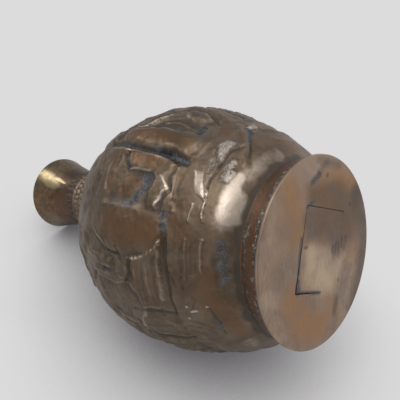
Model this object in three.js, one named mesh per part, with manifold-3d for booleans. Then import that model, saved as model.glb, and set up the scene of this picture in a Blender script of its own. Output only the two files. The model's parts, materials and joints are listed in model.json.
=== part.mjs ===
// A small brass vase of the pitcher kind, made of turned and cast pieces brazed together.
// Millimetres, +Z up. The origin is the centre of the foot's flat underside.
// A bearing of 0 degrees is the front (-Y) and 90 degrees is the right side (+X).
import * as THREE from "three";
import { mergeVertices } from "three/addons/utils/BufferGeometryUtils.js";
import Module from "manifold-3d";

// Driving dimensions of the foot
const footRadius = 35;
const footPlateThickness = 1.3;
const footPlateEdgeRound = 0.3;
const footRingTopRadius = 32.2;
const footRingInnerRadius = 29.5;
const footRingSetBack = 0.5;
const footRingHeight = 7.7;

// Driving dimensions of the patch let into the foot's underside
const patchLength = 30;
const patchWidth = 25;
const patchDepth = 0.7;
const patchCentreX = 0.4;
const patchCentreY = 1.9;
const patchTurn = 8.5;

// Driving dimensions of the body, as heights above the floor and radii of its outside
const bandRise = 7.4;
const bandRadius = 38.4;
const seamHeight = 31;
const seamRadius = 44.1;
const bellyHeight = 60;
const bellyRadius = 48.7;
const shoulderHeight = 88;
const shoulderRadius = 40.2;
const neckRootHeight = 108.5;
const neckRootRadius = 17.4;
const bodyWall = 2.6;
const bodyFloor = 2.4;

// Driving dimensions of the lap where the two halves of the body are brazed
const lapHeight = 4;
const lapWall = 1.1;

// Driving dimensions of the collar, the neck and the mouth
const collarHeight = 22.5;
const collarWaistRadius = 14.8;
const collarSleeveHeight = 9;
const collarSleeveRadius = 17;
const neckSpigotRadius = 12.4;
const neckWall = 1.5;
const neckSpigotDepth = 4;
const neckRadius = 13.3;
const neckStraight = 10;
const mouthHeight = 162;
const mouthRadius = 18.2;
const mouthBellRadius = 15.2;
const mouthBellDrop = 13;
const mouthLipWidth = 1.8;
const mouthLipDrop = 1;

// The vase leans to the right (+X) and back (+Y) by these shares of its height, and its body
// stands a little in front of the middle of the foot
const leanRight = 0.036;
const leanBack = 0.009;
const bodyForward = 1.1;

// Clearance between brazed pieces that meet along a turned face
const brazeGap = 0.3;

// Smoothness of the turned pieces
const bodyColumns = 90;
const footColumns = 60;
const neckColumns = 40;
const bowlRows = 9;
const bellyRows = 27;
const innerRows = 7;
const neckRows = 9;

// The cast relief, which comes twice around the body. Each stroke runs from one place on the
// body to another, written as [bearing in degrees, height in millimetres]. Its half width and
// its rise are millimetres, and a hollow has a negative rise.
const reliefRepeat = 180;
const reliefStart = -75;
const reliefHeight = 1;
const reliefGroundRise = 0.45;
const reliefEdge = 3;
const reliefStrokes = [
  { name: "plain strip", from: [5.5, 38], to: [7, 70], halfWidth: 9, rise: 1.3 },
  { name: "panel side", from: [35.6, 40], to: [36.4, 61], halfWidth: 4.4, rise: 1.1 },
  { name: "panel foot", from: [19, 39], to: [34, 39], halfWidth: 3.4, rise: 0.9 },
  { name: "panel head", from: [20, 61.6], to: [36, 62.6], halfWidth: 3.4, rise: 0.9 },
  { name: "panel hollow", from: [23.5, 48], to: [24, 56], halfWidth: 5.5, rise: -0.6 },
  { name: "upper plate", from: [29, 74], to: [29, 79], halfWidth: 10, rise: 1 },
  { name: "deep groove", from: [42.4, 34], to: [43, 74], halfWidth: 3.2, rise: -0.6 },
  { name: "first lobe", from: [49.3, 37], to: [49.2, 67], halfWidth: 6, rise: 1.8 },
  { name: "lobe hollow", from: [60, 42], to: [60, 54], halfWidth: 5.6, rise: -1.5 },
  { name: "hollow crest", from: [55, 59.4], to: [65.5, 56.4], halfWidth: 3.2, rise: 0.7 },
  { name: "second lobe", from: [70.2, 42], to: [70.2, 48.5], halfWidth: 4.8, rise: 1.4 },
  { name: "second groove", from: [75.5, 54], to: [73, 38], halfWidth: 3, rise: -0.8 },
  { name: "third lobe", from: [82, 42], to: [82, 56], halfWidth: 6, rise: 1.2 },
  { name: "third groove", from: [88.4, 38], to: [88, 60], halfWidth: 3, rise: -0.7 },
  { name: "fourth lobe", from: [95, 40], to: [95, 57], halfWidth: 6.4, rise: 1.2 },
  { name: "first upper lobe", from: [63, 65], to: [66, 70], halfWidth: 7, rise: 0.8 },
  { name: "second upper lobe", from: [81, 66], to: [86, 72], halfWidth: 6, rise: 0.7 },
  { name: "third upper lobe", from: [50, 78], to: [51, 86], halfWidth: 7, rise: 0.5 },
  { name: "pleated skirt", from: [-24, 40], to: [-8, 39], halfWidth: 7, rise: 1.1 },
  { name: "sunk field", from: [-28, 52], to: [-25, 54], halfWidth: 5, rise: -0.6 },
  { name: "first petal", from: [-11, 60], to: [-10.6, 69], halfWidth: 4.6, rise: 0.8 },
  { name: "second petal", from: [-20.4, 60], to: [-20.6, 65], halfWidth: 4.6, rise: 0.6 },
  { name: "third petal", from: [-6.5, 76], to: [-6, 82], halfWidth: 6, rise: 0.7 },
  { name: "petal groove", from: [-8, 56], to: [-3, 69], halfWidth: 3, rise: -0.7 },
  { name: "first flute", from: [-42, 36], to: [-42, 49], halfWidth: 5.4, rise: 0.9 },
  { name: "second flute", from: [-57, 36], to: [-57, 49], halfWidth: 5.4, rise: 0.8 },
  { name: "third flute", from: [-70, 36], to: [-70, 50], halfWidth: 5, rise: 0.7 },
  { name: "flute groove", from: [-50, 34], to: [-50, 52], halfWidth: 3, rise: -0.5 },
  { name: "hanging cloth", from: [-45, 65], to: [-43, 70], halfWidth: 8.6, rise: 1 },
  { name: "second cloth", from: [-65, 64], to: [-65, 71], halfWidth: 7, rise: 0.9 },
  { name: "cloth groove", from: [-29, 58], to: [-26, 80], halfWidth: 3, rise: -0.5 },
  { name: "cloth seam", from: [-58, 55], to: [-38, 54.6], halfWidth: 3, rise: -0.5 },
  { name: "broken ridge", from: [28, 24], to: [36, 25.4], halfWidth: 3, rise: 0.8 },
  { name: "chiselled field", from: [43, 24], to: [57, 24.8], halfWidth: 3, rise: 0.6 },
  { name: "low island", from: [39, 18.6], to: [51, 19], halfWidth: 3, rise: 0.6 },
  { name: "rising ridge", from: [60, 18], to: [80, 26.4], halfWidth: 3, rise: 0.8 },
  { name: "far ridge", from: [88, 24], to: [102, 23], halfWidth: 3, rise: 0.5 },
];

const millimetresPerDegree = (bellyRadius * Math.PI) / 180;
const grooveHeight = footPlateThickness + footRingHeight;
const collarTop = neckRootHeight + collarHeight;

// The outside of the body, from the groove above the foot up to the root of the neck
const bodyStations = [
  new THREE.Vector2(footRingTopRadius, grooveHeight),
  new THREE.Vector2(bandRadius, grooveHeight + bandRise),
  new THREE.Vector2(seamRadius, seamHeight),
  new THREE.Vector2(bellyRadius, bellyHeight),
  new THREE.Vector2(shoulderRadius, shoulderHeight),
  new THREE.Vector2(neckRootRadius, neckRootHeight),
];
const bodyCurve = new THREE.SplineCurve(bodyStations);
const seamAlongCurve = 2 / (bodyStations.length - 1);

function smoothStep(value, low, high) {
  const share = Math.min(Math.max((value - low) / (high - low), 0), 1);
  return share * share * (3 - 2 * share);
}

// The rise of one stroke at a place on the body: a low rounded mound along its centre line.
function strokeRise(stroke, bearing, height) {
  const place = new THREE.Vector2(bearing * millimetresPerDegree, height);
  const start = new THREE.Vector2(stroke.from[0] * millimetresPerDegree, stroke.from[1]);
  const run = new THREE.Vector2(stroke.to[0] * millimetresPerDegree, stroke.to[1]).sub(start);
  const offset = place.sub(start);
  const along = Math.min(Math.max(offset.dot(run) / run.lengthSq(), 0), 1);
  const reach = offset.sub(run.multiplyScalar(along)).length() / stroke.halfWidth;
  return reach < 1 ? stroke.rise * (1 - reach * reach) : 0;
}

// The rise of the whole relief at a place on the body, which fades out below and above it.
function reliefRise(bearing, height) {
  const turned = (((bearing - reliefStart) % reliefRepeat) + reliefRepeat) % reliefRepeat;
  const folded = turned + reliefStart;
  const ground = reliefGroundRise * smoothStep(height, seamHeight, seamHeight + reliefEdge);
  const strokes = reliefStrokes.reduce((sum, s) => sum + strokeRise(s, folded, height), 0);
  const fadeUp = smoothStep(height, grooveHeight, grooveHeight + bandRise);
  const fadeDown = 1 - smoothStep(height, shoulderHeight, neckRootHeight);
  return (ground + strokes) * reliefHeight * fadeUp * fadeDown;
}

// Points along a stretch of the body's outside, moved into the wall by an inset.
function wallPoints(from, to, rows, inset) {
  const points = [];
  for (let row = 0; row <= rows; row += 1) {
    const share = from + ((to - from) * row) / rows;
    const tangent = bodyCurve.getTangent(share);
    const inward = new THREE.Vector2(-tangent.y, tangent.x).multiplyScalar(inset);
    points.push(bodyCurve.getPoint(share).add(inward));
  }
  return points;
}

// Turns a profile of [radius, height] points about the upright axis.
function turned(profile, columns) {
  const points = profile.map((point) => (point.isVector2 ? point : new THREE.Vector2(...point)));
  return new THREE.LatheGeometry(points, columns).rotateX(Math.PI / 2);
}

// Raises the relief on the outside of a turned piece: on each point that lies on the body's
// outer profile, and on none of the inner ones.
function withRelief(geometry, outerPoints) {
  const position = geometry.attributes.position;
  const isOuter = (radius, height) =>
    outerPoints.some((p) => Math.hypot(p.x - radius, p.y - height) < brazeGap / 10);
  for (let index = 0; index < position.count; index += 1) {
    const x = position.getX(index);
    const y = position.getY(index);
    const z = position.getZ(index);
    const radius = Math.hypot(x, y);
    if (!isOuter(radius, z)) continue;
    const bearing = THREE.MathUtils.radToDeg(Math.atan2(x, -y));
    const grown = (radius + reliefRise(bearing, z)) / radius;
    position.setXY(index, x * grown, y * grown);
  }
  return geometry;
}

// Leans a finished shape, in proportion to the height of each of its points, and moves it to
// the front.
function placed(geometry, forward) {
  const matrix = new THREE.Matrix4();
  matrix.set(1, 0, leanRight, 0, 0, 1, leanBack, -forward, 0, 0, 1, 0, 0, 0, 0, 1);
  return geometry.applyMatrix4(matrix);
}

function addPiece(assembly, name, geometry, forward, colour, roughness) {
  const material = new THREE.MeshStandardMaterial({ color: colour, roughness, metalness: 1 });
  const mesh = new THREE.Mesh(placed(geometry, forward), material);
  mesh.name = name;
  assembly.add(mesh);
}

const wasm = await Module();
wasm.setup();

function toSolid(geometry) {
  const bare = geometry.clone();
  bare.deleteAttribute("normal");
  bare.deleteAttribute("uv");
  const merged = mergeVertices(bare);
  return new wasm.Manifold(
    new wasm.Mesh({
      numProp: 3,
      vertProperties: new Float32Array(merged.attributes.position.array),
      triVerts: new Uint32Array(merged.index.array),
    }),
  );
}

function toGeometry(solid) {
  const mesh = solid.getMesh();
  const geometry = new THREE.BufferGeometry();
  geometry.setAttribute("position", new THREE.BufferAttribute(mesh.vertProperties, 3));
  geometry.setIndex(new THREE.BufferAttribute(mesh.triVerts, 1));
  geometry.computeVertexNormals();
  return geometry;
}

// A block of the patch's outline, grown by a margin and centred on the foot's underside.
function patchBlock(margin, thickness) {
  const length = patchLength + 2 * margin;
  const block = new THREE.BoxGeometry(length, patchWidth + 2 * margin, thickness);
  block.rotateZ(THREE.MathUtils.degToRad(patchTurn));
  return block.translate(patchCentreX, patchCentreY, 0);
}

// A flat disc with a rounded edge and a shallow pocket below, which takes the patch.
function footPlate() {
  const disc = turned(
    [
      [0, 0],
      [footRadius - footPlateEdgeRound, 0],
      [footRadius, footPlateEdgeRound],
      [footRadius, footPlateThickness - footPlateEdgeRound],
      [footRadius - footPlateEdgeRound, footPlateThickness],
      [0, footPlateThickness],
    ],
    footColumns,
  );
  const pocket = patchBlock(brazeGap, 2 * patchDepth);
  return toGeometry(toSolid(disc).subtract(toSolid(pocket)));
}

// The rectangular patch, which fills the pocket to its floor and lies flush below.
function footPatch() {
  return patchBlock(0, patchDepth).translate(0, 0, patchDepth / 2);
}

// The foot's wall: it stands on the plate and narrows to the groove under the body.
function footRing() {
  const bottom = footPlateThickness;
  const waist = bottom + footRingHeight / 2;
  const bottomRadius = footRadius - footRingSetBack;
  return turned(
    [
      [footRingInnerRadius, bottom],
      [bottomRadius, bottom],
      [(bottomRadius + footRingTopRadius) / 2, waist],
      [footRingTopRadius, grooveHeight],
      [footRingInnerRadius, grooveHeight],
      [footRingInnerRadius, bottom],
    ],
    footColumns,
  );
}

// The lower half of the body, with a thin lip that stands up inside the upper half.
function lowerBowl() {
  const outside = wallPoints(0, seamAlongCurve, bowlRows, 0);
  const inside = wallPoints(0, seamAlongCurve, innerRows, bodyWall).reverse();
  const floorTop = grooveHeight + bodyFloor;
  const lipInner = inside[0].x;
  const lipOuter = lipInner + lapWall;
  const lipTop = seamHeight + lapHeight;
  const geometry = turned(
    [
      [0, grooveHeight],
      ...outside,
      [lipOuter, seamHeight],
      [lipOuter, lipTop],
      [lipInner, lipTop],
      ...inside.filter((point) => point.y > floorTop),
      [footRingTopRadius - bodyWall, floorTop],
      [0, floorTop],
    ],
    bodyColumns,
  );
  return withRelief(geometry, outside);
}

// The upper half of the body, with the relief outside and a rebate inside for the lip below.
function upperBowl() {
  const outside = wallPoints(seamAlongCurve, 1, bellyRows, 0);
  const inside = wallPoints(seamAlongCurve, 1, innerRows + innerRows, bodyWall).reverse();
  const rebateRadius = inside[inside.length - 1].x + lapWall + brazeGap;
  const rebateTop = seamHeight + lapHeight + brazeGap;
  const holeRadius = neckSpigotRadius + brazeGap;
  const wallAbove = inside.filter((point) => point.y > rebateTop + bodyWall);
  const geometry = turned(
    [
      [rebateRadius, seamHeight],
      ...outside,
      [holeRadius, neckRootHeight],
      [holeRadius, wallAbove[0].y],
      ...wallAbove,
      [rebateRadius, rebateTop],
      [rebateRadius, seamHeight],
    ],
    bodyColumns,
  );
  return withRelief(geometry, outside.slice(0, -1));
}

// The sleeve around the root of the neck, drawn in above to a narrow collar.
function neckCollar() {
  const bore = neckSpigotRadius + brazeGap;
  const sleeveTop = neckRootHeight + collarSleeveHeight;
  const waistFoot = sleeveTop + (collarTop - sleeveTop) / 3;
  return turned(
    [
      [bore, neckRootHeight],
      [neckRootRadius, neckRootHeight],
      [collarSleeveRadius, (neckRootHeight + sleeveTop) / 2],
      [collarSleeveRadius, sleeveTop],
      [collarWaistRadius, waistFoot],
      [collarWaistRadius, collarTop],
      [bore, collarTop],
      [bore, neckRootHeight],
    ],
    neckColumns,
  );
}

// The neck and its flared mouth in one piece, with a spigot down through the collar.
function mouthFlare() {
  const bore = neckSpigotRadius - neckWall;
  const lipFoot = mouthHeight - mouthLipDrop;
  const bellFoot = lipFoot - mouthBellDrop;
  const innerLipRadius = mouthRadius - mouthLipWidth;
  const outside = new THREE.CubicBezierCurve(
    new THREE.Vector2(neckRadius, collarTop),
    new THREE.Vector2(neckRadius, collarTop + neckStraight),
    new THREE.Vector2(mouthBellRadius, bellFoot),
    new THREE.Vector2(mouthRadius, lipFoot),
  ).getPoints(neckRows);
  const inside = new THREE.CubicBezierCurve(
    new THREE.Vector2(innerLipRadius, mouthHeight),
    new THREE.Vector2(mouthBellRadius - mouthLipWidth, bellFoot),
    new THREE.Vector2(bore, collarTop + neckStraight),
    new THREE.Vector2(bore, collarTop),
  ).getPoints(neckRows);
  const spigotFoot = neckRootHeight - neckSpigotDepth;
  return turned(
    [
      [bore, spigotFoot],
      [neckSpigotRadius, spigotFoot],
      [neckSpigotRadius, collarTop],
      ...outside,
      [mouthRadius, mouthHeight],
      ...inside,
      [bore, spigotFoot],
    ],
    neckColumns,
  );
}

const pitcher = new THREE.Group();
addPiece(pitcher, "foot_plate", footPlate(), 0, 0x9a8479, 0.5);
addPiece(pitcher, "foot_patch", footPatch(), 0, 0x9d8778, 0.5);
addPiece(pitcher, "foot_ring", footRing(), 0, 0x6e5446, 0.45);
addPiece(pitcher, "lower_bowl", lowerBowl(), bodyForward, 0x8a7058, 0.3);
addPiece(pitcher, "upper_bowl", upperBowl(), bodyForward, 0x7a634c, 0.4);
addPiece(pitcher, "neck_collar", neckCollar(), bodyForward, 0x6b5440, 0.5);
addPiece(pitcher, "mouth_flare", mouthFlare(), bodyForward, 0x93784e, 0.2);

export default pitcher;
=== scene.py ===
# %% [markdown]
# # A small brass pitcher, lying on its side
#
# The vase is hollow ware: a flat foot, a foot wall, a two-part body with a cast relief, a collar
# and a flared mouth, all brazed together. This lesson dresses the bare model of those pieces. Each
# piece is made again with a fine surface, in the same place and at the same size.

# %% Load the bare model and keep its box
import json
import math
from functools import partial

import bmesh
import bpy
import numpy as np
from mathutils import Matrix, Vector

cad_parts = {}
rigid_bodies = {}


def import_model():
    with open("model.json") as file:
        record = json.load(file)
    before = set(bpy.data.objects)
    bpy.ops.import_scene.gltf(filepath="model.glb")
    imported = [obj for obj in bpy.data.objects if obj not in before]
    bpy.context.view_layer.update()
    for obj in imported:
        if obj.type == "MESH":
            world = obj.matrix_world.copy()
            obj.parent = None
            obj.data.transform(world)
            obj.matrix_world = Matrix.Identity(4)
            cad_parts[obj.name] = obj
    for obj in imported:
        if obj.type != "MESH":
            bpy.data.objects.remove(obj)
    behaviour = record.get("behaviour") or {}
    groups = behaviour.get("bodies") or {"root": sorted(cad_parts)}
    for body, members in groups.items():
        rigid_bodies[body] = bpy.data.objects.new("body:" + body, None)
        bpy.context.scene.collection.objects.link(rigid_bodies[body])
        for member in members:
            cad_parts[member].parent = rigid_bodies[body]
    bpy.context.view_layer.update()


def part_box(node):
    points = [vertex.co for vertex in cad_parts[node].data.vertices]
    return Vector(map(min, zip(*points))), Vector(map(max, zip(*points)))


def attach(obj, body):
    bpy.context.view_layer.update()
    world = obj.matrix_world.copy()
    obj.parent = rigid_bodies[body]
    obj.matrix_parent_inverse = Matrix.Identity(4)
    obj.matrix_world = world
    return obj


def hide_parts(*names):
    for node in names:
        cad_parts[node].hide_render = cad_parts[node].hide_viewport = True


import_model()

# %% [markdown]
# ## The sizes
#
# Heights and outer radii are read from the boxes of the bare pieces, so that each dressed piece
# sits where its bare one does. What a box can't tell, such as the curve of the belly, is written
# here in millimetres. The real vase isn't quite true, so the whole of it leans a little: every
# point moves right and back by a small share of its height, and the body sits a little forward
# of the foot.

# %% Sizes in millimetres
MM = 0.001


def extent(node):
    """The lowest and highest corners of a bare piece, in millimetres."""
    low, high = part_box(node)
    return np.array(low) / MM, np.array(high) / MM


def bottom_of(node):
    return float(extent(node)[0][2])


def top_of(node):
    return float(extent(node)[1][2])


def radius_of(node):
    low, high = extent(node)
    return float(high[1] - low[1]) / 2


LEAN_RIGHT, LEAN_BACK, BODY_FORWARD = 0.036, 0.009, 1.1
FOOT_RADIUS = radius_of("foot_plate")
PLATE_TOP = top_of("foot_plate")
GROOVE_HEIGHT = top_of("foot_ring")
GROOVE_RADIUS = 32.2
SEAM_HEIGHT = bottom_of("upper_bowl")
NECK_ROOT = bottom_of("neck_collar")
COLLAR_TOP = top_of("neck_collar")
MOUTH_TOP = top_of("mouth_flare")
MOUTH_RADIUS = radius_of("mouth_flare")
SPIGOT_RADIUS, BORE = 12.4, 10.9
BODY_WALL = 2.6
BRAZE_GAP = 0.3
BAND_HEIGHT, BAND_RADIUS = GROOVE_HEIGHT + 7.4, 38.4
SEAM_RADIUS = 44.1
BELLY_HEIGHT, BELLY_RADIUS = 60, 48.45
SHOULDER_HEIGHT, SHOULDER_RADIUS = 88, 40.2
NECK_ROOT_RADIUS = 17.4
DEGREE_MM = math.radians(1) * BELLY_RADIUS
print(f"foot {2 * FOOT_RADIUS:.1f} across, seam at {SEAM_HEIGHT:.1f}, mouth at {MOUTH_TOP:.1f}")

# %% [markdown]
# ## The outline of the body
#
# A hand-made belly has no straight part. Its outline is a smooth curve through six
# places. A Catmull-Rom curve passes through each of them, which a Bezier curve wouldn't do, so the
# groove, the seam and the belly keep the sizes they were given.

# %% The outline of the body as a radius for each height
BODY_STATIONS = np.array(
    [
        (GROOVE_RADIUS, GROOVE_HEIGHT),
        (BAND_RADIUS, BAND_HEIGHT),
        (SEAM_RADIUS, SEAM_HEIGHT),
        (BELLY_RADIUS, BELLY_HEIGHT),
        (SHOULDER_RADIUS, SHOULDER_HEIGHT),
        (NECK_ROOT_RADIUS, NECK_ROOT),
    ]
)


def smooth_curve(stations, steps):
    """Points of a Catmull-Rom curve, with the first and last station counted twice."""
    padded = np.vstack([stations[:1], stations, stations[-1:]])
    points = []
    for before, start, end, after in zip(padded, padded[1:], padded[2:], padded[3:]):
        t = np.linspace(0, 1, steps, endpoint=False)[:, None]
        leave, arrive = (end - before) / 2, (after - start) / 2
        cubic = (2 * start - 2 * end + leave + arrive) * t**3
        square = (3 * end - 3 * start - 2 * leave - arrive) * t**2
        points.append(cubic + square + leave * t + start)
    return np.vstack(points + [stations[-1:]])


CURVE_STEPS = 60
BODY_CURVE = smooth_curve(BODY_STATIONS, CURVE_STEPS)


def outline_between(low, high, rows):
    """Evenly spaced (radius, height) points of the body's outside between two heights."""
    curve = BODY_CURVE[(BODY_CURVE[:, 1] >= low - 0.001) & (BODY_CURVE[:, 1] <= high + 0.001)]
    step = np.hypot(*np.diff(curve, axis=0).T)
    along = np.concatenate([[0], np.cumsum(step)])
    wanted = np.linspace(0, along[-1], rows)
    return np.column_stack([np.interp(wanted, along, curve[:, i]) for i in (0, 1)])


print("the body's widest radius is", round(float(BODY_CURVE[:, 0].max()), 2))

# %% [markdown]
# ## The relief
#
# The relief was cast with the body and then worn by handling. It is written here on the unrolled
# body, by bearing in degrees from the front and by height in millimetres. A plate is a raised or
# sunken area with soft edges, a mound is round across and follows a path, and a bead row is a
# chain of small round drops. The pattern comes twice around the body, because the side that can't
# be seen is taken to match the side that can.

# %% The relief's pattern space
RELIEF_REPEAT = 180
RELIEF_START = -75


def soft_step(value, low, high):
    share = np.clip((value - low) / (high - low), 0, 1)
    return share * share * (3 - 2 * share)


def fold(bearing):
    """The bearing inside the repeated pattern."""
    return (bearing - RELIEF_START) % RELIEF_REPEAT + RELIEF_START


# %% Distances on the unrolled body


def reach_to(path, bearing, height):
    """The distance in millimetres from each place to a path of (bearing, height) points."""
    best = np.full(bearing.shape, 1e9)
    corners = np.array(path, float) * (DEGREE_MM, 1)
    if len(corners) == 1:
        corners = np.vstack([corners, corners + 0.001])
    for start, end in zip(corners, corners[1:]):
        run = end - start
        x, y = bearing * DEGREE_MM - start[0], height - start[1]
        along = np.clip((x * run[0] + y * run[1]) / (run @ run), 0, 1)
        best = np.minimum(best, np.hypot(x - along * run[0], y - along * run[1]))
    return best


def within(corners, bearing, height):
    """Whether each place is inside a closed outline, by counting the sides to its right."""
    inside = np.zeros(bearing.shape, bool)
    for (b0, z0), (b1, z1) in zip(corners, corners[1:] + corners[:1]):
        if z0 == z1:
            continue
        crosses = (z0 > height) != (z1 > height)
        inside ^= crosses & (bearing < (b1 - b0) * (height - z0) / (z1 - z0) + b0)
    return inside


# %% The three kinds of stroke


def mound(path, half_width, rise):
    """A rounded ridge along a path, or a groove where the rise is negative."""

    def shape(bearing, height):
        reach = np.clip(reach_to(path, bearing, height) / half_width, 0, 1)
        return rise * (1 - reach * reach) ** 1.5

    return shape


def plate(corners, rise, edge):
    """An area raised or sunken as a whole, with an edge that slopes over a given width."""

    def shape(bearing, height):
        reach = reach_to(corners + corners[:1], bearing, height)
        signed = np.where(within(corners, bearing, height), reach, -reach)
        return rise * soft_step(signed, -edge / 2, edge / 2)

    return shape


def beads(path, count, radius, rise):
    """Round drops of one size, evenly spaced along a path."""
    corners = np.array(path, float)
    step = np.hypot(*(np.diff(corners, axis=0) * (DEGREE_MM, 1)).T)
    along = np.concatenate([[0], np.cumsum(step)])
    wanted = np.linspace(0, along[-1], count)
    drops = np.column_stack([np.interp(wanted, along, axis) for axis in corners.T])

    def shape(bearing, height):
        total = np.zeros(bearing.shape)
        for drop in drops:
            reach = reach_to([drop], bearing, height) / radius
            total = np.maximum(total, rise * np.sqrt(np.clip(1 - reach * reach, 0, 1)))
        return total

    return shape


# %% [markdown]
# ### The strokes
#
# The front holds a plain strip between a pleated skirt on the left and a framed panel on the
# right. Further right are tall lobes with deep hollows between them. The band below carries a few
# broken ridges where the casting was chased by hand.

# %% The plain strip and the panel
STRIP = [
    plate(
        [
            (-5, 47), (-2.4, 39), (2, 34), (12, 32.6), (15, 40), (15, 62), (12, 78), (1, 80),
            (2, 67), (-4, 60),
        ],
        0.6,
        3,
    ),
    mound([(6, 38), (6.5, 60), (7, 74)], 10, 0.7),
]
PANEL = [
    plate(
        [
            (15.6, 41), (16, 37.4), (22, 36.6), (25, 35), (30, 36.8), (37.6, 36.4), (39, 44),
            (38.6, 58.4), (35, 57), (31.4, 54), (31, 44), (28, 41), (22, 42.6),
        ],
        0.9,
        1.8,
    ),
    mound([(35, 42), (35, 52)], 5, 0.35),
    plate(
        [(15.6, 60), (15.8, 47), (20, 44.6), (28, 42.4), (30.4, 45), (30, 52), (26, 57), (20, 60)],
        -0.3,
        3.6,
    ),
    mound([(17.4, 47), (22, 45), (28, 43)], 2.0, -0.3),
    mound([(30.4, 55), (33, 56.8), (38, 60.2)], 1.0, -0.75),
    mound([(30.8, 43.6), (31.2, 50), (29.6, 54.6)], 0.8, 0.3),
    mound([(17, 37.4), (20, 36.4), (24, 36.2), (26, 35), (28, 37), (30, 38.2)], 0.6, 0.25),
    mound([(38.6, 38), (39, 50), (39.8, 62), (40.6, 72)], 0.9, 0.3),
    plate(
        [
            (16, 30.6), (22, 31.8), (30, 33.2), (37, 34.6), (37, 35.6), (30, 35.2), (25, 33.6),
            (21, 35), (16, 35),
        ],
        0.45,
        1.0,
    ),
    mound([(15, 36), (20, 35.4), (24.8, 33.6), (30, 35.4), (38, 35.6)], 0.7, -0.4),
    plate(
        [
            (16, 61.6), (24, 59.4), (33.4, 59.6), (39.6, 61.6), (41.4, 72), (36, 74), (24, 70),
            (16.6, 69),
        ],
        0.65,
        3,
    ),
    plate(
        [(18, 73), (28, 71.4), (38, 75), (41.4, 79), (40, 88), (29, 91), (19, 88), (16.6, 79)],
        0.7,
        2.4,
    ),
    mound([(17, 70.4), (26, 70), (36, 73.6)], 0.9, -0.4),
]

# %% The lobes
LOBES = [
    mound([(41, 33.6), (41.4, 38), (41.6, 44)], 2.8, -1.2),
    mound([(41.6, 42), (41, 50), (41.4, 58), (43.4, 68), (43.6, 76)], 1.25, -0.8),
    plate(
        [
            (44, 35), (49, 32), (54.6, 32.4), (56.4, 38), (54.8, 50), (53, 60), (54, 69),
            (50, 72), (45, 68), (43.4, 55),
        ],
        0.8,
        3.4,
    ),
    mound([(49.6, 38), (49, 50), (48.6, 64)], 6.4, 1.0),
    plate(
        [
            (57, 38), (60, 36), (64.4, 38), (65.8, 46), (65.4, 54.6), (60, 59), (54.4, 62),
            (55.2, 50),
        ],
        -0.9,
        1.8,
    ),
    mound([(58.4, 37.4), (63, 38.4)], 2.2, -0.8),
    mound([(55, 57), (56.2, 48), (58, 40)], 1.1, -0.8),
    mound([(54, 65), (60, 61), (66.4, 56.6)], 1.1, 0.8),
    plate([(66.6, 40), (71, 38), (74, 44), (73.8, 50), (70, 52.4), (66.8, 50)], 0.8, 2.6),
    mound([(70.2, 42), (70.2, 48)], 4.2, 0.8),
    mound([(75.4, 55), (75.6, 46), (73, 38.6), (70, 35)], 1.2, -0.8),
    mound([(45, 31.6), (50, 30.8), (56, 31.6), (62, 32.6)], 1.4, 0.35),
    plate([(77, 39), (84, 36), (87.4, 44), (86.8, 58), (80.6, 61), (77.6, 54)], 0.35, 4),
    mound([(82, 41), (82, 56)], 4.4, 0.3),
    mound([(88.6, 36), (88.4, 50), (87, 62)], 1.2, -0.35),
    plate([(90, 36), (99, 36), (101, 46), (99, 60), (92, 62), (90, 50)], 0.4, 4),
    mound([(95, 40), (95, 57)], 5, 0.3),
    plate([(56, 65), (62, 63), (69, 60.6), (72, 66), (67, 74), (58, 73)], 0.5, 3),
    mound([(74, 56.6), (71.4, 58), (74, 68), (71, 76)], 1.2, -0.7),
    plate([(76, 64), (86, 62), (90, 70), (84, 76), (76, 74)], 0.45, 3.4),
    plate([(46, 75), (53, 75), (57, 82), (54, 90), (46, 88)], 0.8, 3),
    mound([(56, 74), (60, 82), (66, 84)], 1.2, -0.6),
    mound([(79, 34), (90, 42), (103, 52)], 0.8, -0.2),
    mound([(82, 31.6), (92, 38.6), (104, 48)], 0.7, -0.2),
    mound([(77, 40), (86, 47), (98, 57)], 0.8, -0.2),
    mound([(78, 47), (86, 54), (94, 61)], 0.7, -0.2),
    mound([(84, 28.4), (94, 34), (104, 42)], 0.8, 0.2),
    mound([(61.6, 42), (63, 50), (61, 56)], 0.8, 0.3),
    plate([(72, 28), (108, 28), (108, 68), (72, 68)], 0.45, 9),
]

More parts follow.
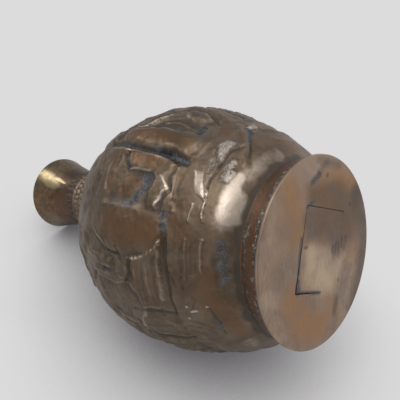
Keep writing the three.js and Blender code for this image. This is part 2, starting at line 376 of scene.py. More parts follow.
# %% The pleated skirt and the petals
SHALLOW_PANEL = [
    (-20.4, 66), (-20.8, 56), (-19.4, 48.6), (-24, 45.8), (-31, 45.6), (-34.4, 52),
    (-40.6, 55), (-40, 63), (-32, 69),
]
SKIRT = [
    plate(
        [
            (-29, 34), (-14, 33.2), (3, 33.2), (0, 35.6), (-3.8, 39.6), (-7, 46), (-10.5, 45),
            (-15.6, 45.2), (-19, 47.6), (-24, 44.6), (-30.6, 44.4), (-30, 39),
        ],
        0.85,
        1.8,
    ),
    mound([(-33.6, 52), (-32, 42), (-31.4, 36), (-32.4, 32.4)], 0.8, -0.4),
    mound([(-32, 32), (-26, 31.4), (-10, 31.4), (4, 32.2)], 0.7, -0.5),
    mound([(2, 31.8), (9.4, 32.8)], 1.0, -0.4),
    plate(SHALLOW_PANEL, -0.5, 1.8),
    mound([(-24, 34), (-2, 33.8)], 0.8, 0.25),
    mound([(-26, 36.2), (-4, 35.9)], 0.7, -0.35),
    mound([(-26, 38.8), (-8, 38.9)], 0.8, 0.25),
    mound([(-28, 41.2), (-8, 41)], 0.7, -0.3),
    mound([(-28, 43.4), (-10, 43)], 0.7, -0.25),
    beads([(-7.6, 47.6), (-6.4, 44), (-4, 39.4), (-1, 35.6), (2, 33.8)], 9, 0.8, 0.4),
    mound([(-31, 44.8), (-24, 45.2), (-19, 48), (-19.6, 56), (-18.8, 67)], 0.8, 0.35),
    mound([(-19, 50.4), (-14, 47), (-9, 47.2)], 0.9, -0.7),
    plate([(-18, 48.4), (-12, 47.4), (-10, 50), (-10.6, 53.4), (-17.6, 53)], 0.3, 1.6),
    plate([(-13.6, 56.6), (-9.6, 56), (-7.6, 60), (-7.4, 68), (-11, 74), (-13.6, 68)], 0.7, 2),
    mound([(-15.2, 55.6), (-15.4, 61)], 1.2, -0.45),
    mound([(-17.4, 58), (-16.8, 68)], 1.4, 0.4),
    mound([(-9.6, 51.4), (-3, 52.6)], 0.9, -0.6),
    mound([(-7, 52.4), (-6.2, 58), (-3.6, 62), (0, 66)], 1.0, -0.8),
    mound([(-5.6, 58.6), (-2, 61), (1.6, 65)], 0.8, 0.5),
    mound([(-12, 55), (-8.6, 55.4), (-6.8, 58)], 0.6, -0.3),
    mound([(-12.4, 62), (-9.6, 64), (-9, 70)], 0.6, -0.3),
    mound([(-17.6, 50.6), (-15.4, 53)], 0.6, 0.3),
    plate([(-13, 77), (-6, 73), (-2, 74), (0, 84), (-10, 86)], 0.6, 2.4),
]

# %% The flutes and the hanging cloth
FLUTES = [
    plate(
        [(-46.6, 33), (-38, 31.4), (-35.6, 36), (-35.6, 44), (-38, 49), (-46, 50), (-48, 42)],
        0.8,
        2.4,
    ),
    mound([(-40, 35), (-41, 47)], 0.7, -0.35),
    mound([(-44.4, 34), (-45.4, 47)], 0.7, -0.3),
    mound([(-50, 30), (-50.4, 42), (-48.6, 52)], 1.1, -0.8),
    plate([(-62, 33), (-53, 31), (-52, 40), (-52.4, 50), (-60, 50)], 0.8, 2.4),
    mound([(-56.6, 34), (-57.4, 48)], 0.8, -0.35),
    mound([(-64.4, 31), (-64.4, 44), (-62, 54)], 1.1, -0.8),
    plate([(-73, 34), (-67, 32), (-66, 42), (-67, 51), (-73, 50)], 0.8, 2.4),
    mound([(-60, 54), (-48, 52), (-41.6, 52)], 1.0, -0.6),
    plate([(-56, 59), (-44, 55), (-42.6, 64), (-38, 70), (-40, 78), (-54, 77)], 0.8, 2.4),
    mound([(-52, 61), (-47, 66), (-45, 75)], 0.8, -0.4),
    mound([(-43.6, 49), (-41.4, 56), (-40.4, 64), (-36, 70)], 0.9, 0.5),
    mound([(-20, 69), (-27, 74), (-25, 84)], 1.2, -0.6),
    plate([(-72, 60), (-60, 58), (-58, 66), (-60, 77), (-70, 77)], 0.8, 2.6),
    mound([(-33, 79), (-18, 80), (-12, 90)], 1.4, 0.5),
]

# %% The band below the relief
BAND = [
    mound([(15, 20.2), (22, 20.8), (30, 21.8)], 0.5, 0.35),
    plate([(37.6, 28.4), (37.4, 25), (30, 23.2), (25, 21.6), (28, 24.6), (32, 26.8)], 0.5, 1.6),
    plate(
        [
            (27, 21.4), (29.4, 23.2), (37.4, 25), (43, 26.4), (52, 28), (60, 27), (62, 22),
            (54, 21.4), (45, 21.6),
        ],
        0.4,
        2,
    ),
    mound([(26, 21.6), (34, 21.6), (45.6, 21.5), (55, 21.4), (62, 20.6)], 0.5, -0.4),
    mound([(36, 20.4), (42, 21)], 1.2, 0.2),
    plate(
        [(36.4, 19.6), (44, 20.6), (51.8, 19.8), (52.6, 17.4), (44, 15.8), (37.4, 16.6)],
        0.35,
        1.2,
    ),
    mound([(52, 15.2), (58.6, 18.6), (64, 21), (70.6, 24.4), (74, 28)], 1.9, 0.65),
    mound([(57, 16.4), (62, 18.2), (68, 20.4), (73, 22.8), (78, 26), (80, 29)], 1.0, -0.65),
    mound([(76, 30), (79, 27.4), (83, 27)], 1.3, 0.5),
    mound([(84, 17), (100, 16)], 1.8, 0.5),
    mound([(86, 24), (98, 22.6), (104, 24)], 1.8, 0.6),
    mound([(-9, 18.9), (-2, 19.2), (7, 19.1)], 0.8, 0.3),
    mound([(-9, 20.6), (-2, 20.8), (6, 20.6)], 0.7, -0.25),
    mound([(-13, 24.4), (-4, 24.6), (6, 24.4)], 0.8, 0.3),
    mound([(-12, 25.9), (-4, 26), (5, 25.8)], 0.6, -0.25),
    mound([(-10, 22.4), (4, 22)], 1.0, -0.3),
    mound([(13, 24.3), (17, 24.6), (22, 24.8)], 0.5, 0.3),
    mound([(-14, 28.6), (-2, 28.3), (10, 28.5)], 0.5, 0.2),
    mound([(-11, 30.6), (-17, 29)], 0.7, -0.3),
    mound([(-18, 26.4), (-12, 26)], 0.7, -0.35),
    mound([(-48, 18.2), (-39, 17.8), (-33, 18), (-28, 19.2)], 0.8, -0.45),
    mound([(-22, 23), (-29, 24.4)], 0.8, -0.4),
    mound([(-50, 12.4), (-30, 12), (-12, 13)], 0.8, -0.3),
    mound([(-18, 14.2), (-4, 14.6), (4, 13.4)], 1.1, -0.3),
    mound([(-70, 26), (-56, 24), (-48, 26)], 1.6, 0.6),
    mound([(-36, 29), (-38, 24), (-42, 21)], 0.7, -0.35),
    mound([(-40, 30), (-42, 24), (-46, 21)], 0.7, -0.3),
    mound([(-44, 30), (-47, 25)], 0.7, -0.3),
]
STUD_PLACES = [[(-34.2, 27.2)], [(-27.5, 26.2)], [(-30.6, 24.8), (-30, 23)], [(-27, 19.5)]]
STUDS = [beads(path, 2 * len(path) - 1, 0.65, 0.4) for path in STUD_PLACES]
STROKES = STRIP + PANEL + LOBES + SKIRT + FLUTES + BAND + STUDS
BROKEN = [
    plate([(27.6, 21.8), (37.4, 24.2), (43, 25.6), (46, 22)], 0.6, 1.6),
    plate([(44, 22), (43, 25.6), (52, 27.4), (60, 26.4), (61, 22.6)], 1, 1.8),
    plate([(37.6, 19.4), (44, 20.4), (51.4, 19.4), (52, 17.6), (44, 16.2), (38, 17.2)], 1, 1.2),
    mound([(54, 65), (60, 61), (66, 56.8)], 1.8, 1),
    mound([(17, 37.4), (24, 36.4), (30, 38)], 1.2, 0.6),
    mound([(72, 27), (79, 25.6), (83, 27.6)], 3, 0.8),
    plate([(-8, 50), (-20, 48), (-20, 72), (-6, 66)], 0.14, 4),
    mound([(16, 44), (15.4, 58)], 2.0, 0.25),
    mound([(9, 32.6), (16, 34)], 2.4, 0.35),
    mound([(-7, 46), (-3.4, 39)], 1.6, 0.45),
]
HATCHED = [plate(SHALLOW_PANEL, 1, 2)]
GROUND_RISE, GROUND_EDGE = 0.4, 3
print(len(STROKES), "strokes in the relief,", len(BROKEN), "broken patches")

# %% [markdown]
# Nothing in a hand-chased relief is straight. Before the strokes are laid, every place is moved a
# little by a field of waves, and a field of small pits and lumps is added on top. Where the
# casting is broken there are crumbs as well, and the shallow panel on the left is hatched with
# fine slanting lines. The waves have whole numbers of turns in half a round, so they meet
# themselves where the pattern repeats.

# %% Unevenness made of waves
HAND_SWAY = 0.32


def wave_field(bearing, height, seed, count, shortest, longest):
    """A smooth random field between about -1 and 1, with wavelengths in millimetres."""
    rng = np.random.default_rng(seed)
    half_round = RELIEF_REPEAT * DEGREE_MM
    total = np.zeros(bearing.shape)
    for _ in range(count):
        length = rng.uniform(shortest, longest)
        heading, phase = rng.uniform(0, 2 * math.pi, 2)
        turns = round(half_round / length * math.cos(heading))
        around = 2 * math.pi * turns * bearing / RELIEF_REPEAT
        total += np.sin(around + 2 * math.pi * height / length * math.sin(heading) + phase)
    return total / math.sqrt(count)


def lay(strokes, bearing, height):
    """The sum of some strokes at every place of a grid, with hand-drawn unevenness."""
    sideways, upward = (
        HAND_SWAY * wave_field(bearing, height, seed, count=14, shortest=5, longest=16)
        for seed in (21, 22)
    )
    folded, moved = fold(bearing + sideways / DEGREE_MM), height + upward
    return sum(stroke(folded, moved) for stroke in strokes)


# %% The rise of the relief
LUMP_RISE, CRAG_RISE, CRUMB_RISE, CRUMB_FLOOR = 0.13, 0.045, 0.08, -0.7
HATCH_RISE, HATCH_PITCH, HATCH_SLANT = 0.11, 1.5, 0.7
WORN_FROM, WORN_TO, WORN_SHARE, POLISHED_SHARE = 78, 92, 0.8, 0.25


def relief(bearing, height):
    """The rise of the relief, in millimetres, at every place of a grid."""
    total = GROUND_RISE * soft_step(height, SEAM_HEIGHT, SEAM_HEIGHT + GROUND_EDGE)
    total = total + lay(STROKES, bearing, height)
    lumps = LUMP_RISE * wave_field(bearing, height, seed=31, count=24, shortest=5, longest=12)
    crags = CRAG_RISE * wave_field(bearing, height, seed=32, count=40, shortest=1.8, longest=4)
    worked = soft_step(height, BAND_HEIGHT + 2, SEAM_HEIGHT)
    rough = POLISHED_SHARE + (1 - POLISHED_SHARE) * worked
    unworn = 1 - WORN_SHARE * soft_step(height, WORN_FROM, WORN_TO)
    total = total + (lumps + crags) * rough * unworn
    crumbs = wave_field(bearing, height, seed=33, count=60, shortest=1.2, longest=4.5)
    broken = np.clip(lay(BROKEN, bearing, height), 0, 1)
    total = total + CRUMB_RISE * np.maximum(crumbs, CRUMB_FLOOR) * broken
    across = (height + HATCH_SLANT * bearing * DEGREE_MM) / HATCH_PITCH
    hatch = HATCH_RISE * np.sin(2 * math.pi * across)
    total = total + hatch * np.clip(lay(HATCHED, bearing, height), 0, 1)
    fade_up = soft_step(height, GROOVE_HEIGHT, BAND_HEIGHT)
    fade_down = 1 - soft_step(height, SHOULDER_HEIGHT, NECK_ROOT)
    return total * fade_up * fade_down


front = relief(np.zeros((1, 1)), np.full((1, 1), float(BELLY_HEIGHT)))
print(f"the relief rises {front[0, 0]:.2f} in the middle of the front")

# %% [markdown]
# The finish isn't even either. Handling has brightened some ridges, blue-black dirt sits in some
# hollows, and the patina is orange in places. The bright places are also painted highlights and
# sheen, where the lamps' light falls on the band, the facets and some crests. These are painted
# with the same strokes, as masks from 0 to 1. The broken patches of the relief serve as a mask
# too, since they look grey.

# %% Where the metal is bright, stained or warm
# Polish, and painted highlights and sheen where the lamps' light falls on the band, facets, crests.
POLISH_AND_HIGHLIGHTS = [
    plate(
        [
            (14, 10.8), (12, 14), (15, 17), (24, 18), (38, 16.4), (46, 15), (43, 13),
            (37, 12.6), (33, 10.4),
        ],
        0.42,
        5,
    ),
    mound([(19, 13.6), (26, 14), (32, 14.6), (43, 14.8)], 3.3, 0.55),
    mound([(20, 12), (28, 11.6), (36, 11.8)], 2.4, 0.42),
    mound([(47, 13), (58, 12.4), (76, 12)], 3.4, 0.42),
    mound([(-70, 14.6), (-60, 14.6)], 4.4, 0.35),
    plate([(38, 28.6), (38, 25), (30, 23), (25, 21.4), (28, 24.8), (32, 27)], 1.2, 1.2),
    plate([(48, 22.8), (50, 25), (56, 27), (61, 25), (61, 22.8), (54, 22.4)], 0.9, 1.6),
    mound([(39, 17.6), (50, 18.4)], 1.6, 0.55),
    mound([(17, 37.6), (20, 36.8), (23.4, 36.6)], 0.8, 0.5),
    mound([(24, 36.2), (26, 35.2), (28, 37), (30, 38.4)], 1.0, 0.55),
    mound([(31.2, 44), (31.4, 50), (30, 54.6)], 0.8, 0.5),
    mound([(38.8, 40), (39.4, 60), (41, 72)], 0.9, 0.45),
    mound([(80, 27), (84, 27.4)], 2.0, 1),
    mound([(54, 65.2), (60, 61.2), (66.6, 56.8)], 0.9, 1.1),
    mound([(61.6, 42), (63, 50), (61, 56)], 0.7, 0.3),
    mound([(20, 63.8), (32, 66.6)], 1.2, 0.3),
    mound([(-9, 19), (6, 19.2)], 1.0, 0.35),
    mound([(-12, 24.6), (5, 24.5)], 0.9, 0.25),
    mound([(14, 24.4), (22, 24.8)], 0.55, 0.7),
    mound([(17, 20.4), (22, 20.8), (30, 21.8)], 0.55, 0.9),
    mound([(-7, 45), (-4.4, 40)], 1.0, 0.4),
    mound([(-24, 33.8), (-6, 33.6)], 0.8, 0.25),
    mound([(-22, 38.8), (-10, 38.9)], 0.8, 0.2),
    mound([(-33, 45.6), (-43, 50)], 1.6, 0.3),
    *[mound(path, 0.8, 1) for path in STUD_PLACES],
]
STAIN = [
    mound([(17.4, 47), (22, 45.6), (28, 44)], 2.6, 0.75),
    mound([(28, 45), (29.4, 51)], 2.2, 0.6),
    mound([(40.8, 34), (41.8, 47)], 3.0, 0.9),
    mound([(41, 49), (42.4, 66)], 1.4, 0.6),
    mound([(58, 37), (64, 38.4)], 3.4, 1),
    mound([(60.6, 42), (60, 52)], 4.4, 0.35),
    mound([(55.4, 57), (57, 44)], 1.6, 0.7),
    mound([(-14, 12.6), (8, 13.6)], 3.0, 0.65),
    mound([(8.6, 32.6), (15, 34)], 2.4, 0.7),
    mound([(-44, 18.2), (-37, 18)], 1.6, 0.7),
    mound([(-31, 44), (-32.4, 33)], 1.4, 0.5),
    mound([(14.6, 47), (15.6, 58)], 2.2, 0.6),
    mound([(31.4, 55.4), (36, 59)], 1.8, 0.8),
    mound([(68, 20.8), (73, 23), (78, 26.4)], 1.8, 0.9),
    mound([(36, 20.4), (38, 16)], 1.4, 0.5),
    mound([(-13.8, 49.8)], 3.4, 0.45),
    mound([(-15.2, 55), (-15.4, 61)], 2.2, 0.6),
    mound([(-36, 52), (-38, 62)], 4, 0.35),
    mound([(26, 70), (38, 66)], 3.0, 0.3),
]
WARM = [
    mound([(35.6, 42), (36, 57)], 4.4, 0.8),
    mound([(20, 62), (36, 66)], 4, 0.6),
    mound([(6, 38), (6, 54)], 9, 0.9),
    mound([(5, 27), (13, 29)], 4, 0.9),
    mound([(-25, 19), (-10, 18)], 5, 0.8),
    mound([(-56, 14), (-26, 15)], 4, 0.7),
    mound([(20, 54), (27, 50)], 5, 0.7),
    mound([(49.4, 38), (49, 64)], 5.4, 0.8),
    mound([(71, 25), (64, 21)], 1.8, 0.8),
    mound([(66, 30), (72, 33)], 4, 0.7),
    mound([(78, 44), (88, 48)], 7, 0.5),
    mound([(84, 15), (98, 15)], 4, 0.5),
    mound([(-14, 36), (-24, 40)], 4, 0.35),
]
print(len(POLISH_AND_HIGHLIGHTS), "bright places,", len(STAIN), "stained ones and", len(WARM), "warm ones")

# %% [markdown]
# ## Turning a profile into a closed piece
#
# Every piece of the vase is round, so each is made by turning a closed profile of radius and
# height about the upright axis. Writing the grid of points directly, rather than using a Screw
# modifier, lets the outer rows be raised by the relief before the faces are made. The step
# forward from the foot to the body is eased over the groove, so the groove stays smooth.
#
# The same grid gives two masks for the finish: wear, where the surface stands proud of what is
# round it, and hollow, where it lies below. The painted masks are kept on the mesh beside them,
# as attributes that a material can read by name.

# %% Helpers that put a new object in the scene


def in_scene(name, data):
    made = bpy.data.objects.new(name, data)
    bpy.context.scene.collection.objects.link(made)
    return made


def from_faces(name, points, faces):
    mesh = bpy.data.meshes.new(name)
    mesh.from_pydata(points, [], faces)
    mesh.validate()
    mesh.polygons.foreach_set("use_smooth", np.ones(len(mesh.polygons), bool))
    return in_scene(name, mesh)


def from_form(name, form):
    """A new object with the mesh of a bmesh, which is freed."""
    mesh = bpy.data.meshes.new(name)
    form.to_mesh(mesh)
    form.free()
    return in_scene(name, mesh)


# %% Helpers that blur and roughen a grid


def blurred(grid, reach):
    """A box blur that wraps around the columns and stops at the first and last row."""
    box = 2 * reach + 1
    padded = np.pad(grid, ((reach, reach), (0, 0)), mode="edge")
    total = np.cumsum(np.vstack([np.zeros((1, grid.shape[1])), padded]), axis=0)
    grid = (total[box:] - total[:-box]) / box
    wrapped = np.concatenate([grid[:, -reach:], grid, grid[:, :reach]], axis=1)
    total = np.cumsum(np.hstack([np.zeros((len(grid), 1)), wrapped]), axis=1)
    return (total[:, box:] - total[:, :-box]) / box


def noise_grid(bearing, height, seed, waves, longest):
    """Smooth hand-made unevenness: a sum of waves that closes on itself round the vase."""
    rng = np.random.default_rng(seed)
    total = np.zeros(np.broadcast(bearing, height).shape)
    for _ in range(waves):
        turns = rng.integers(1, 12)
        pitch = longest * rng.uniform(0.35, 1)
        phase, tilt = rng.uniform(0, 2 * math.pi, 2)
        total += np.sin(np.radians(bearing) * turns + phase + np.sin(height / pitch + tilt) * 2)
    return total / waves


# %% From a grid to points, faces and crisp edges
CRISP_ANGLE = 28


def placed(radius, bearing, height):
    """Points in metres, with the lean of the vase and the body's step forward."""
    turn = np.radians(bearing)
    shift = BODY_FORWARD * soft_step(height, PLATE_TOP, BAND_HEIGHT)
    x = radius * np.sin(turn) + LEAN_RIGHT * height
    y = -radius * np.cos(turn) + LEAN_BACK * height - shift
    return np.stack([x, y, height], axis=-1).reshape(-1, 3) * MM


def faces_between(profile, columns):
    """The faces between neighbouring rows and columns, except those that lie on the axis."""
    index = np.arange(len(profile) * columns).reshape(len(profile), columns)
    across = np.roll(index, -1, axis=1)
    up, up_across = np.roll(index, -1, axis=0), np.roll(across, -1, axis=0)
    quads = np.stack([index, across, up_across, up], axis=-1)
    on_axis = profile[:, 0] == 0
    return quads[~(on_axis & np.roll(on_axis, -1))].reshape(-1, 4).tolist()


def tidy_mesh(piece):
    """Joins the points on the axis and marks the edges that stay crisp."""
    form = bmesh.new()
    form.from_mesh(piece.data)
    bmesh.ops.remove_doubles(form, verts=form.verts, dist=0.01 * MM)
    for edge in form.edges:
        if len(edge.link_faces) == 2:
            edge.smooth = edge.calc_face_angle(0) < math.radians(CRISP_ANGLE)
    bmesh.ops.recalc_face_normals(form, faces=form.faces)
    form.to_mesh(piece.data)
    form.free()


# %% Turning a profile
WEAR_BLUR, HOLLOW_BLUR = 5, 11


def turned_piece(name, outer, inner, columns, rise=None, masks=None):
    """Turns outer points upward and inner points back down into one closed, leaning piece."""
    profile = np.vstack([outer, inner])
    bearing = np.arange(columns) * 360 / columns
    radius = np.repeat(profile[:, :1], columns, axis=1)
    height = np.repeat(profile[:, 1:], columns, axis=1)
    rows = len(outer)
    outside = np.repeat(bearing[None], rows, axis=0), height[:rows]
    lift = np.zeros((len(profile), columns))
    if rise is not None:
        lift[:rows] = rise(*outside)
    points = placed(radius + lift * (radius > 0), bearing[None], height)
    piece = from_faces(name, points, faces_between(profile, columns))
    paint = {
        "wear": np.clip(lift - blurred(lift, WEAR_BLUR), 0, 1),
        "hollow": np.clip(blurred(lift, HOLLOW_BLUR) - lift, 0, 1),
    }
    for layer, strokes in (masks or {}).items():
        painted = np.zeros((len(profile), columns))
        painted[:rows] = np.clip(lay(strokes, *outside), 0, 1)
        paint[layer] = np.maximum(paint.get(layer, 0), painted)
    for layer, values in paint.items():
        data = piece.data.attributes.new(layer, "FLOAT", "POINT")
        data.data.foreach_set("value", values.ravel().astype(np.float32))
    tidy_mesh(piece)
    return piece


# %% Seating a finished piece


def seat(piece, node):
    """Makes a piece ride with the vase and stand for its bare node."""
    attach(piece, "root")
    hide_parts(node)
    print(f"{piece.name}: {len(piece.data.polygons)} faces")


# %% [markdown]
# ## The foot
#
# The foot is a flat disc brazed into a short wall. The disc has a rectangular patch let into it,
# which shows as a thin dark line. The line is a real gap in the mesh: the patch's outline, a
# little larger, is cut out of the disc with a Boolean modifier, and the patch is a plate of its
# own with its edges eased by a Bevel modifier. The gap is wider at one corner, where the seam has
# opened.

# %% Sizes of the foot
EDGE_ROUND = 0.3
PATCH_LENGTH, PATCH_WIDTH, PATCH_DEPTH = 30, 25, 0.7
PATCH_X, PATCH_Y, PATCH_TURN = 0.4, 1.9, 8.5
PATCH_EDGE, PATCH_LIFT, PATCH_CUTS = 0.05, 0.02, 24
PATCH_CORNERS = ((-1, -1), (1, -1), (1, 1), (-1, 1))
POCKET_GAPS = ((0.8, 0.8), (0.35, 0.25), (0.25, -0.3), (-0.35, -0.3))
POCKET_SINK = 0.014
RING_SET_BACK, RING_INNER = 0.5, 29.5
print(f"patch {PATCH_LENGTH} by {PATCH_WIDTH}, let in {PATCH_DEPTH} deep")

# %% Helpers for the disc and the patch


def rounded_corner(radius, height, size, start, steps=5):
    """Points of a quarter round about a centre, from a starting angle, turning left."""
    angle = np.radians(np.linspace(start, start + 90, steps))
    return np.column_stack([radius + size * np.cos(angle), height + size * np.sin(angle)])


def patch_block(name, gaps):
    """A flat block where the patch is, each corner moved out by a gap in length and width."""
    form = bmesh.new()
    lower = []
    for (x, y), (gap_x, gap_y) in zip(PATCH_CORNERS, gaps):
        corner = x * (PATCH_LENGTH / 2 + gap_x) * MM, y * (PATCH_WIDTH / 2 + gap_y) * MM, 0
        lower.append(form.verts.new(corner))
    face = form.faces.new(lower)
    raised = bmesh.ops.extrude_face_region(form, geom=[face])["geom"]
    for point in raised:
        if isinstance(point, bmesh.types.BMVert):
            point.co.z = PATCH_DEPTH * MM
    bmesh.ops.recalc_face_normals(form, faces=form.faces)
    turn = Matrix.Rotation(math.radians(PATCH_TURN), 4, "Z")
    form.transform(Matrix.Translation(Vector((PATCH_X, PATCH_Y, 0)) * MM) @ turn)
    return from_form(name, form)


# %% Finishing a piece that has modifiers


def apply_modifiers(piece):
    """Replaces a piece's mesh by its finished form, so that no modifier is left on it."""
    graph = bpy.context.evaluated_depsgraph_get()
    finished = bpy.data.meshes.new_from_object(piece.evaluated_get(graph))
    piece.modifiers.clear()
    piece.data = finished


# %% The disc of the foot
DISC_ROWS, DISC_COLUMNS = 40, 192
disc_flat = np.linspace(0, FOOT_RADIUS - 2 * EDGE_ROUND, DISC_ROWS)
disc_outer = np.vstack(
    [
        np.column_stack([disc_flat, np.zeros(DISC_ROWS)]),
        rounded_corner(FOOT_RADIUS - EDGE_ROUND, EDGE_ROUND, EDGE_ROUND, -90, 7),
        rounded_corner(FOOT_RADIUS - EDGE_ROUND, PLATE_TOP - EDGE_ROUND, EDGE_ROUND, 0, 7),
    ]
)
foot_disc = turned_piece("foot_disc", disc_outer, [(0, PLATE_TOP)], DISC_COLUMNS)

# %% The pocket in the disc
RIM_SHARE, LEVEL = 0.97, 0.9999
pocket = patch_block("patch_pocket", POCKET_GAPS)
pocket.location.z = -POCKET_SINK * MM
cut = foot_disc.modifiers.new("pocket", "BOOLEAN")
cut.operation = "DIFFERENCE"
cut.solver = "EXACT"
cut.object = pocket
apply_modifiers(foot_disc)
bpy.data.objects.remove(pocket)
for face in foot_disc.data.polygons:
    on_rim = face.center.xy.length > RIM_SHARE * FOOT_RADIUS * MM
    face.use_smooth = on_rim and abs(face.normal.z) < LEVEL
seat(foot_disc, "foot_plate")

# %% The patch
foot_patch = patch_block("let_in_patch", ((0, 0),) * 4)
bevel = foot_patch.modifiers.new("eased_edges", "BEVEL")
bevel.width = PATCH_EDGE * MM
bevel.segments = 2
bevel.limit_method = "ANGLE"
bevel.angle_limit = math.radians(50)
bevel.harden_normals = True
apply_modifiers(foot_patch)
form = bmesh.new()
form.from_mesh(foot_patch.data)
bmesh.ops.subdivide_edges(form, edges=form.edges, cuts=PATCH_CUTS, use_grid_fill=True)
form.transform(Matrix.Translation((0, 0, PATCH_LIFT * MM)))
form.to_mesh(foot_patch.data)
form.free()
seat(foot_patch, "foot_patch")

# %% [markdown]
# The underside has had the most handling. Its middle is rubbed to a pale gold, old solder has left
# orange stains round the patch, and dirt has stayed in the open ends of the seam.

# %% Where the underside is rubbed, stained or dark


def flat(path):
    """A path on the underside, in millimetres from the body's axis, as the strokes need it."""
    return [(x / DEGREE_MM, y - BODY_FORWARD) for x, y in path]


def dab(path, half_width, strength):
    return mound(flat(path), half_width, strength)


def area(corners, strength, edge):
    return plate(flat(corners), strength, edge)


DISC_DASHES = [
    [(-2.4, 12.4), (2.6, 13)],
    [(0, 16.8), (4, 16.6)],
    [(-1, 19), (4, 19.2)],
    [(-3.6, 10.8), (1.6, 10.4)],
    [(-4, 1.6), (-1, 0.6)],
    [(-2, 14.8), (3, 14.4)],
    [(-9, 0.4), (-7, -1)],
]
DISC_PAINT = {
    "shine": [
        area(
            [
                (-16, 2), (-16.6, 12), (-12, 18), (-2, 20), (-3, 12), (1, 8), (3, 2),
                (3.6, -7), (-6, -8.6), (-13, -9),
            ],
            0.5,
            8,
        ),
        dab([(-12, 8), (-9, 4)], 5, 0.12),
        dab([(-4, -3), (1, -4)], 4, 0.16),
        dab([(-30, -22), (-8, -29), (10, -28)], 8, 0.26),
        dab([(-22, 24), (-6, 27)], 7, 0.28),
    ],
    "warmth": [
        dab([(-27, 4), (-25, -8), (-15, -14)], 9, 1.1),
        dab([(-22, -3), (-17, -8)], 5, 0.3),
        dab([(-24, 14), (-18, 10)], 6, 0.6),
        dab([(-14, -3), (-4, -4), (2, -5)], 4, 0.7),
        dab([(8, -13), (22, -18)], 9, 1.0),
        dab([(8, 4), (14, 2), (13, 16)], 8, 0.7),
        dab([(20, 4), (22, -6)], 5, 0.8),
        dab([(24, 22), (27, 12), (26, 2)], 6, 1.0),
        dab([(-2, 25), (14, 22)], 8, 0.6),
        dab([(8, 20), (22, 12)], 9, 0.4),
    ],
    "stain": [
        dab([(-15, 3), (-13.6, -5), (-12.4, -10)], 1.1, 1.0),
        dab([(-12.6, -10.6), (-10.4, -11)], 2.4, 1.0),
        dab([(-9, -10.8), (-2, -10.8), (6, -10)], 1.2, 0.9),
        dab([(25, -5), (26.4, -3), (27.4, -1)], 2.2, 0.85),
        dab([(16, 21.5)], 1.8, 0.8),
        dab([(25, 20)], 2.0, 0.5),
        dab([(29, 0), (32, 4)], 2.6, 0.5),
        dab([(16.4, -7.6), (17.8, -5), (18.4, -3.4)], 1.0, 0.8),
        dab([(2.2, -8.6), (2.6, -6)], 0.7, 0.8),
    ],
    "hollow": [
        area(
            [(3, -8), (4, 4), (-1, 10), (-3, 14), (2, 26), (20, 27), (27, 14), (25, -8), (12, -10)],
            0.4,
            9,
        ),
        *[dab(dash, 0.55, 0.35) for dash in DISC_DASHES],
        dab([(-24, 28), (0, 34), (22, 28)], 8, 0.4),
        dab([(31, 12), (33, -2)], 3, 0.3),
        dab([(-12, 15.4)], 1.3, 0.5),
        dab([(-24, 14), (-19, 15)], 3.4, 0.4),
        dab([(-1.4, -21)], 0.9, 0.4),
        dab([(27.6, 4.6)], 1.2, 0.5),
    ],
}
RIM_DIRT, RIM_HEIGHT = 0.5, 1.5 * EDGE_ROUND


def paint_flat(piece, masks):
    """Writes the masks of a piece that lies in the underside's plane."""
    mesh = piece.data
    points = np.empty(len(mesh.vertices) * 3, np.float32)
    mesh.vertices.foreach_get("co", points)
    x, y, z = points.reshape(-1, 3).T / MM
    above_edge = z > RIM_HEIGHT
    for layer, strokes in masks.items():
        data = mesh.attributes.get(layer) or mesh.attributes.new(layer, "FLOAT", "POINT")
        value = np.clip(sum(stroke(x / DEGREE_MM, y) for stroke in strokes), 0, 1)
        value[above_edge] = RIM_DIRT if layer == "hollow" else 0
        data.data.foreach_set("value", value.astype(np.float32))
    print(piece.name, "painted over", len(x), "points")


paint_flat(foot_disc, DISC_PAINT)
paint_flat(foot_patch, DISC_PAINT)

# %% [markdown]
# The wall of the foot is a short cone between the disc and the groove. It is turned with shallow
# dents, and a row of small pale spots follows its lower edge, where verdigris has come out of the
# seam. They are drawn as a chain of beads, which is how they look from a little way off.

# %% The wall of the foot
RING_ROWS, RING_COLUMNS, WALL_DENT = 22, 288, 0.1
ring_foot_radius = FOOT_RADIUS - RING_SET_BACK
ring_share = np.linspace(0, 1, RING_ROWS)
ring_height = PLATE_TOP + (GROOVE_HEIGHT - PLATE_TOP) * ring_share
ring_radius = ring_foot_radius + (GROOVE_RADIUS - ring_foot_radius) * ring_share
ring_outer = np.column_stack([ring_radius, ring_height])
ring_inner = [(RING_INNER, GROOVE_HEIGHT), (RING_INNER, PLATE_TOP)]


def ring_rise(bearing, height):
    """Shallow dents that stop at both ends of the wall."""
    dents = WALL_DENT * (noise_grid(bearing, height, seed=3, waves=14, longest=3) - 1)
    return dents * np.clip((height - PLATE_TOP) * (GROOVE_HEIGHT - height), 0, 1)


WALL_MASKS = {
    "stain": [
        beads([(-34, 2.5), (4, 2.4), (20, 2.7), (36, 2.4), (62, 2.6)], 21, 1.2, 0.95),
        mound([(4, 2.4), (50, 2.5)], 1.1, 0.35),
        mound([(-70, 6), (20, 7.6)], 1.2, 0.4),
    ],
    "warmth": [mound([(-70, 4), (100, 4.4)], 3, 0.9)],
}
foot_wall = turned_piece("foot_wall", ring_outer, ring_inner, RING_COLUMNS, ring_rise, WALL_MASKS)
seat(foot_wall, "foot_ring")

# %% [markdown]
# ## The body
#
# The lower bowl is plain and polished next to the groove, and the upper bowl carries the relief.
# Both are closed shells with a real wall. The lower one has a thin lip that stands up inside the
# upper one, which is how such a seam is made before it is brazed. The shade in the groove under
# the belly is painted over the hollows of the lower bowl, with a darker line under the bright
# facet.

# %% What both shells of the body share
BODY_COLUMNS, BAND_SINK = 800, 0.1
LOWER_ROWS, LOWER_INNER_ROWS = 80, 12
UPPER_ROWS, UPPER_INNER_ROWS = 270, 30
LAP_HEIGHT, LAP_WALL, FLOOR_THICKNESS = 4, 1.1, 2.4
lip_top = SEAM_HEIGHT + LAP_HEIGHT


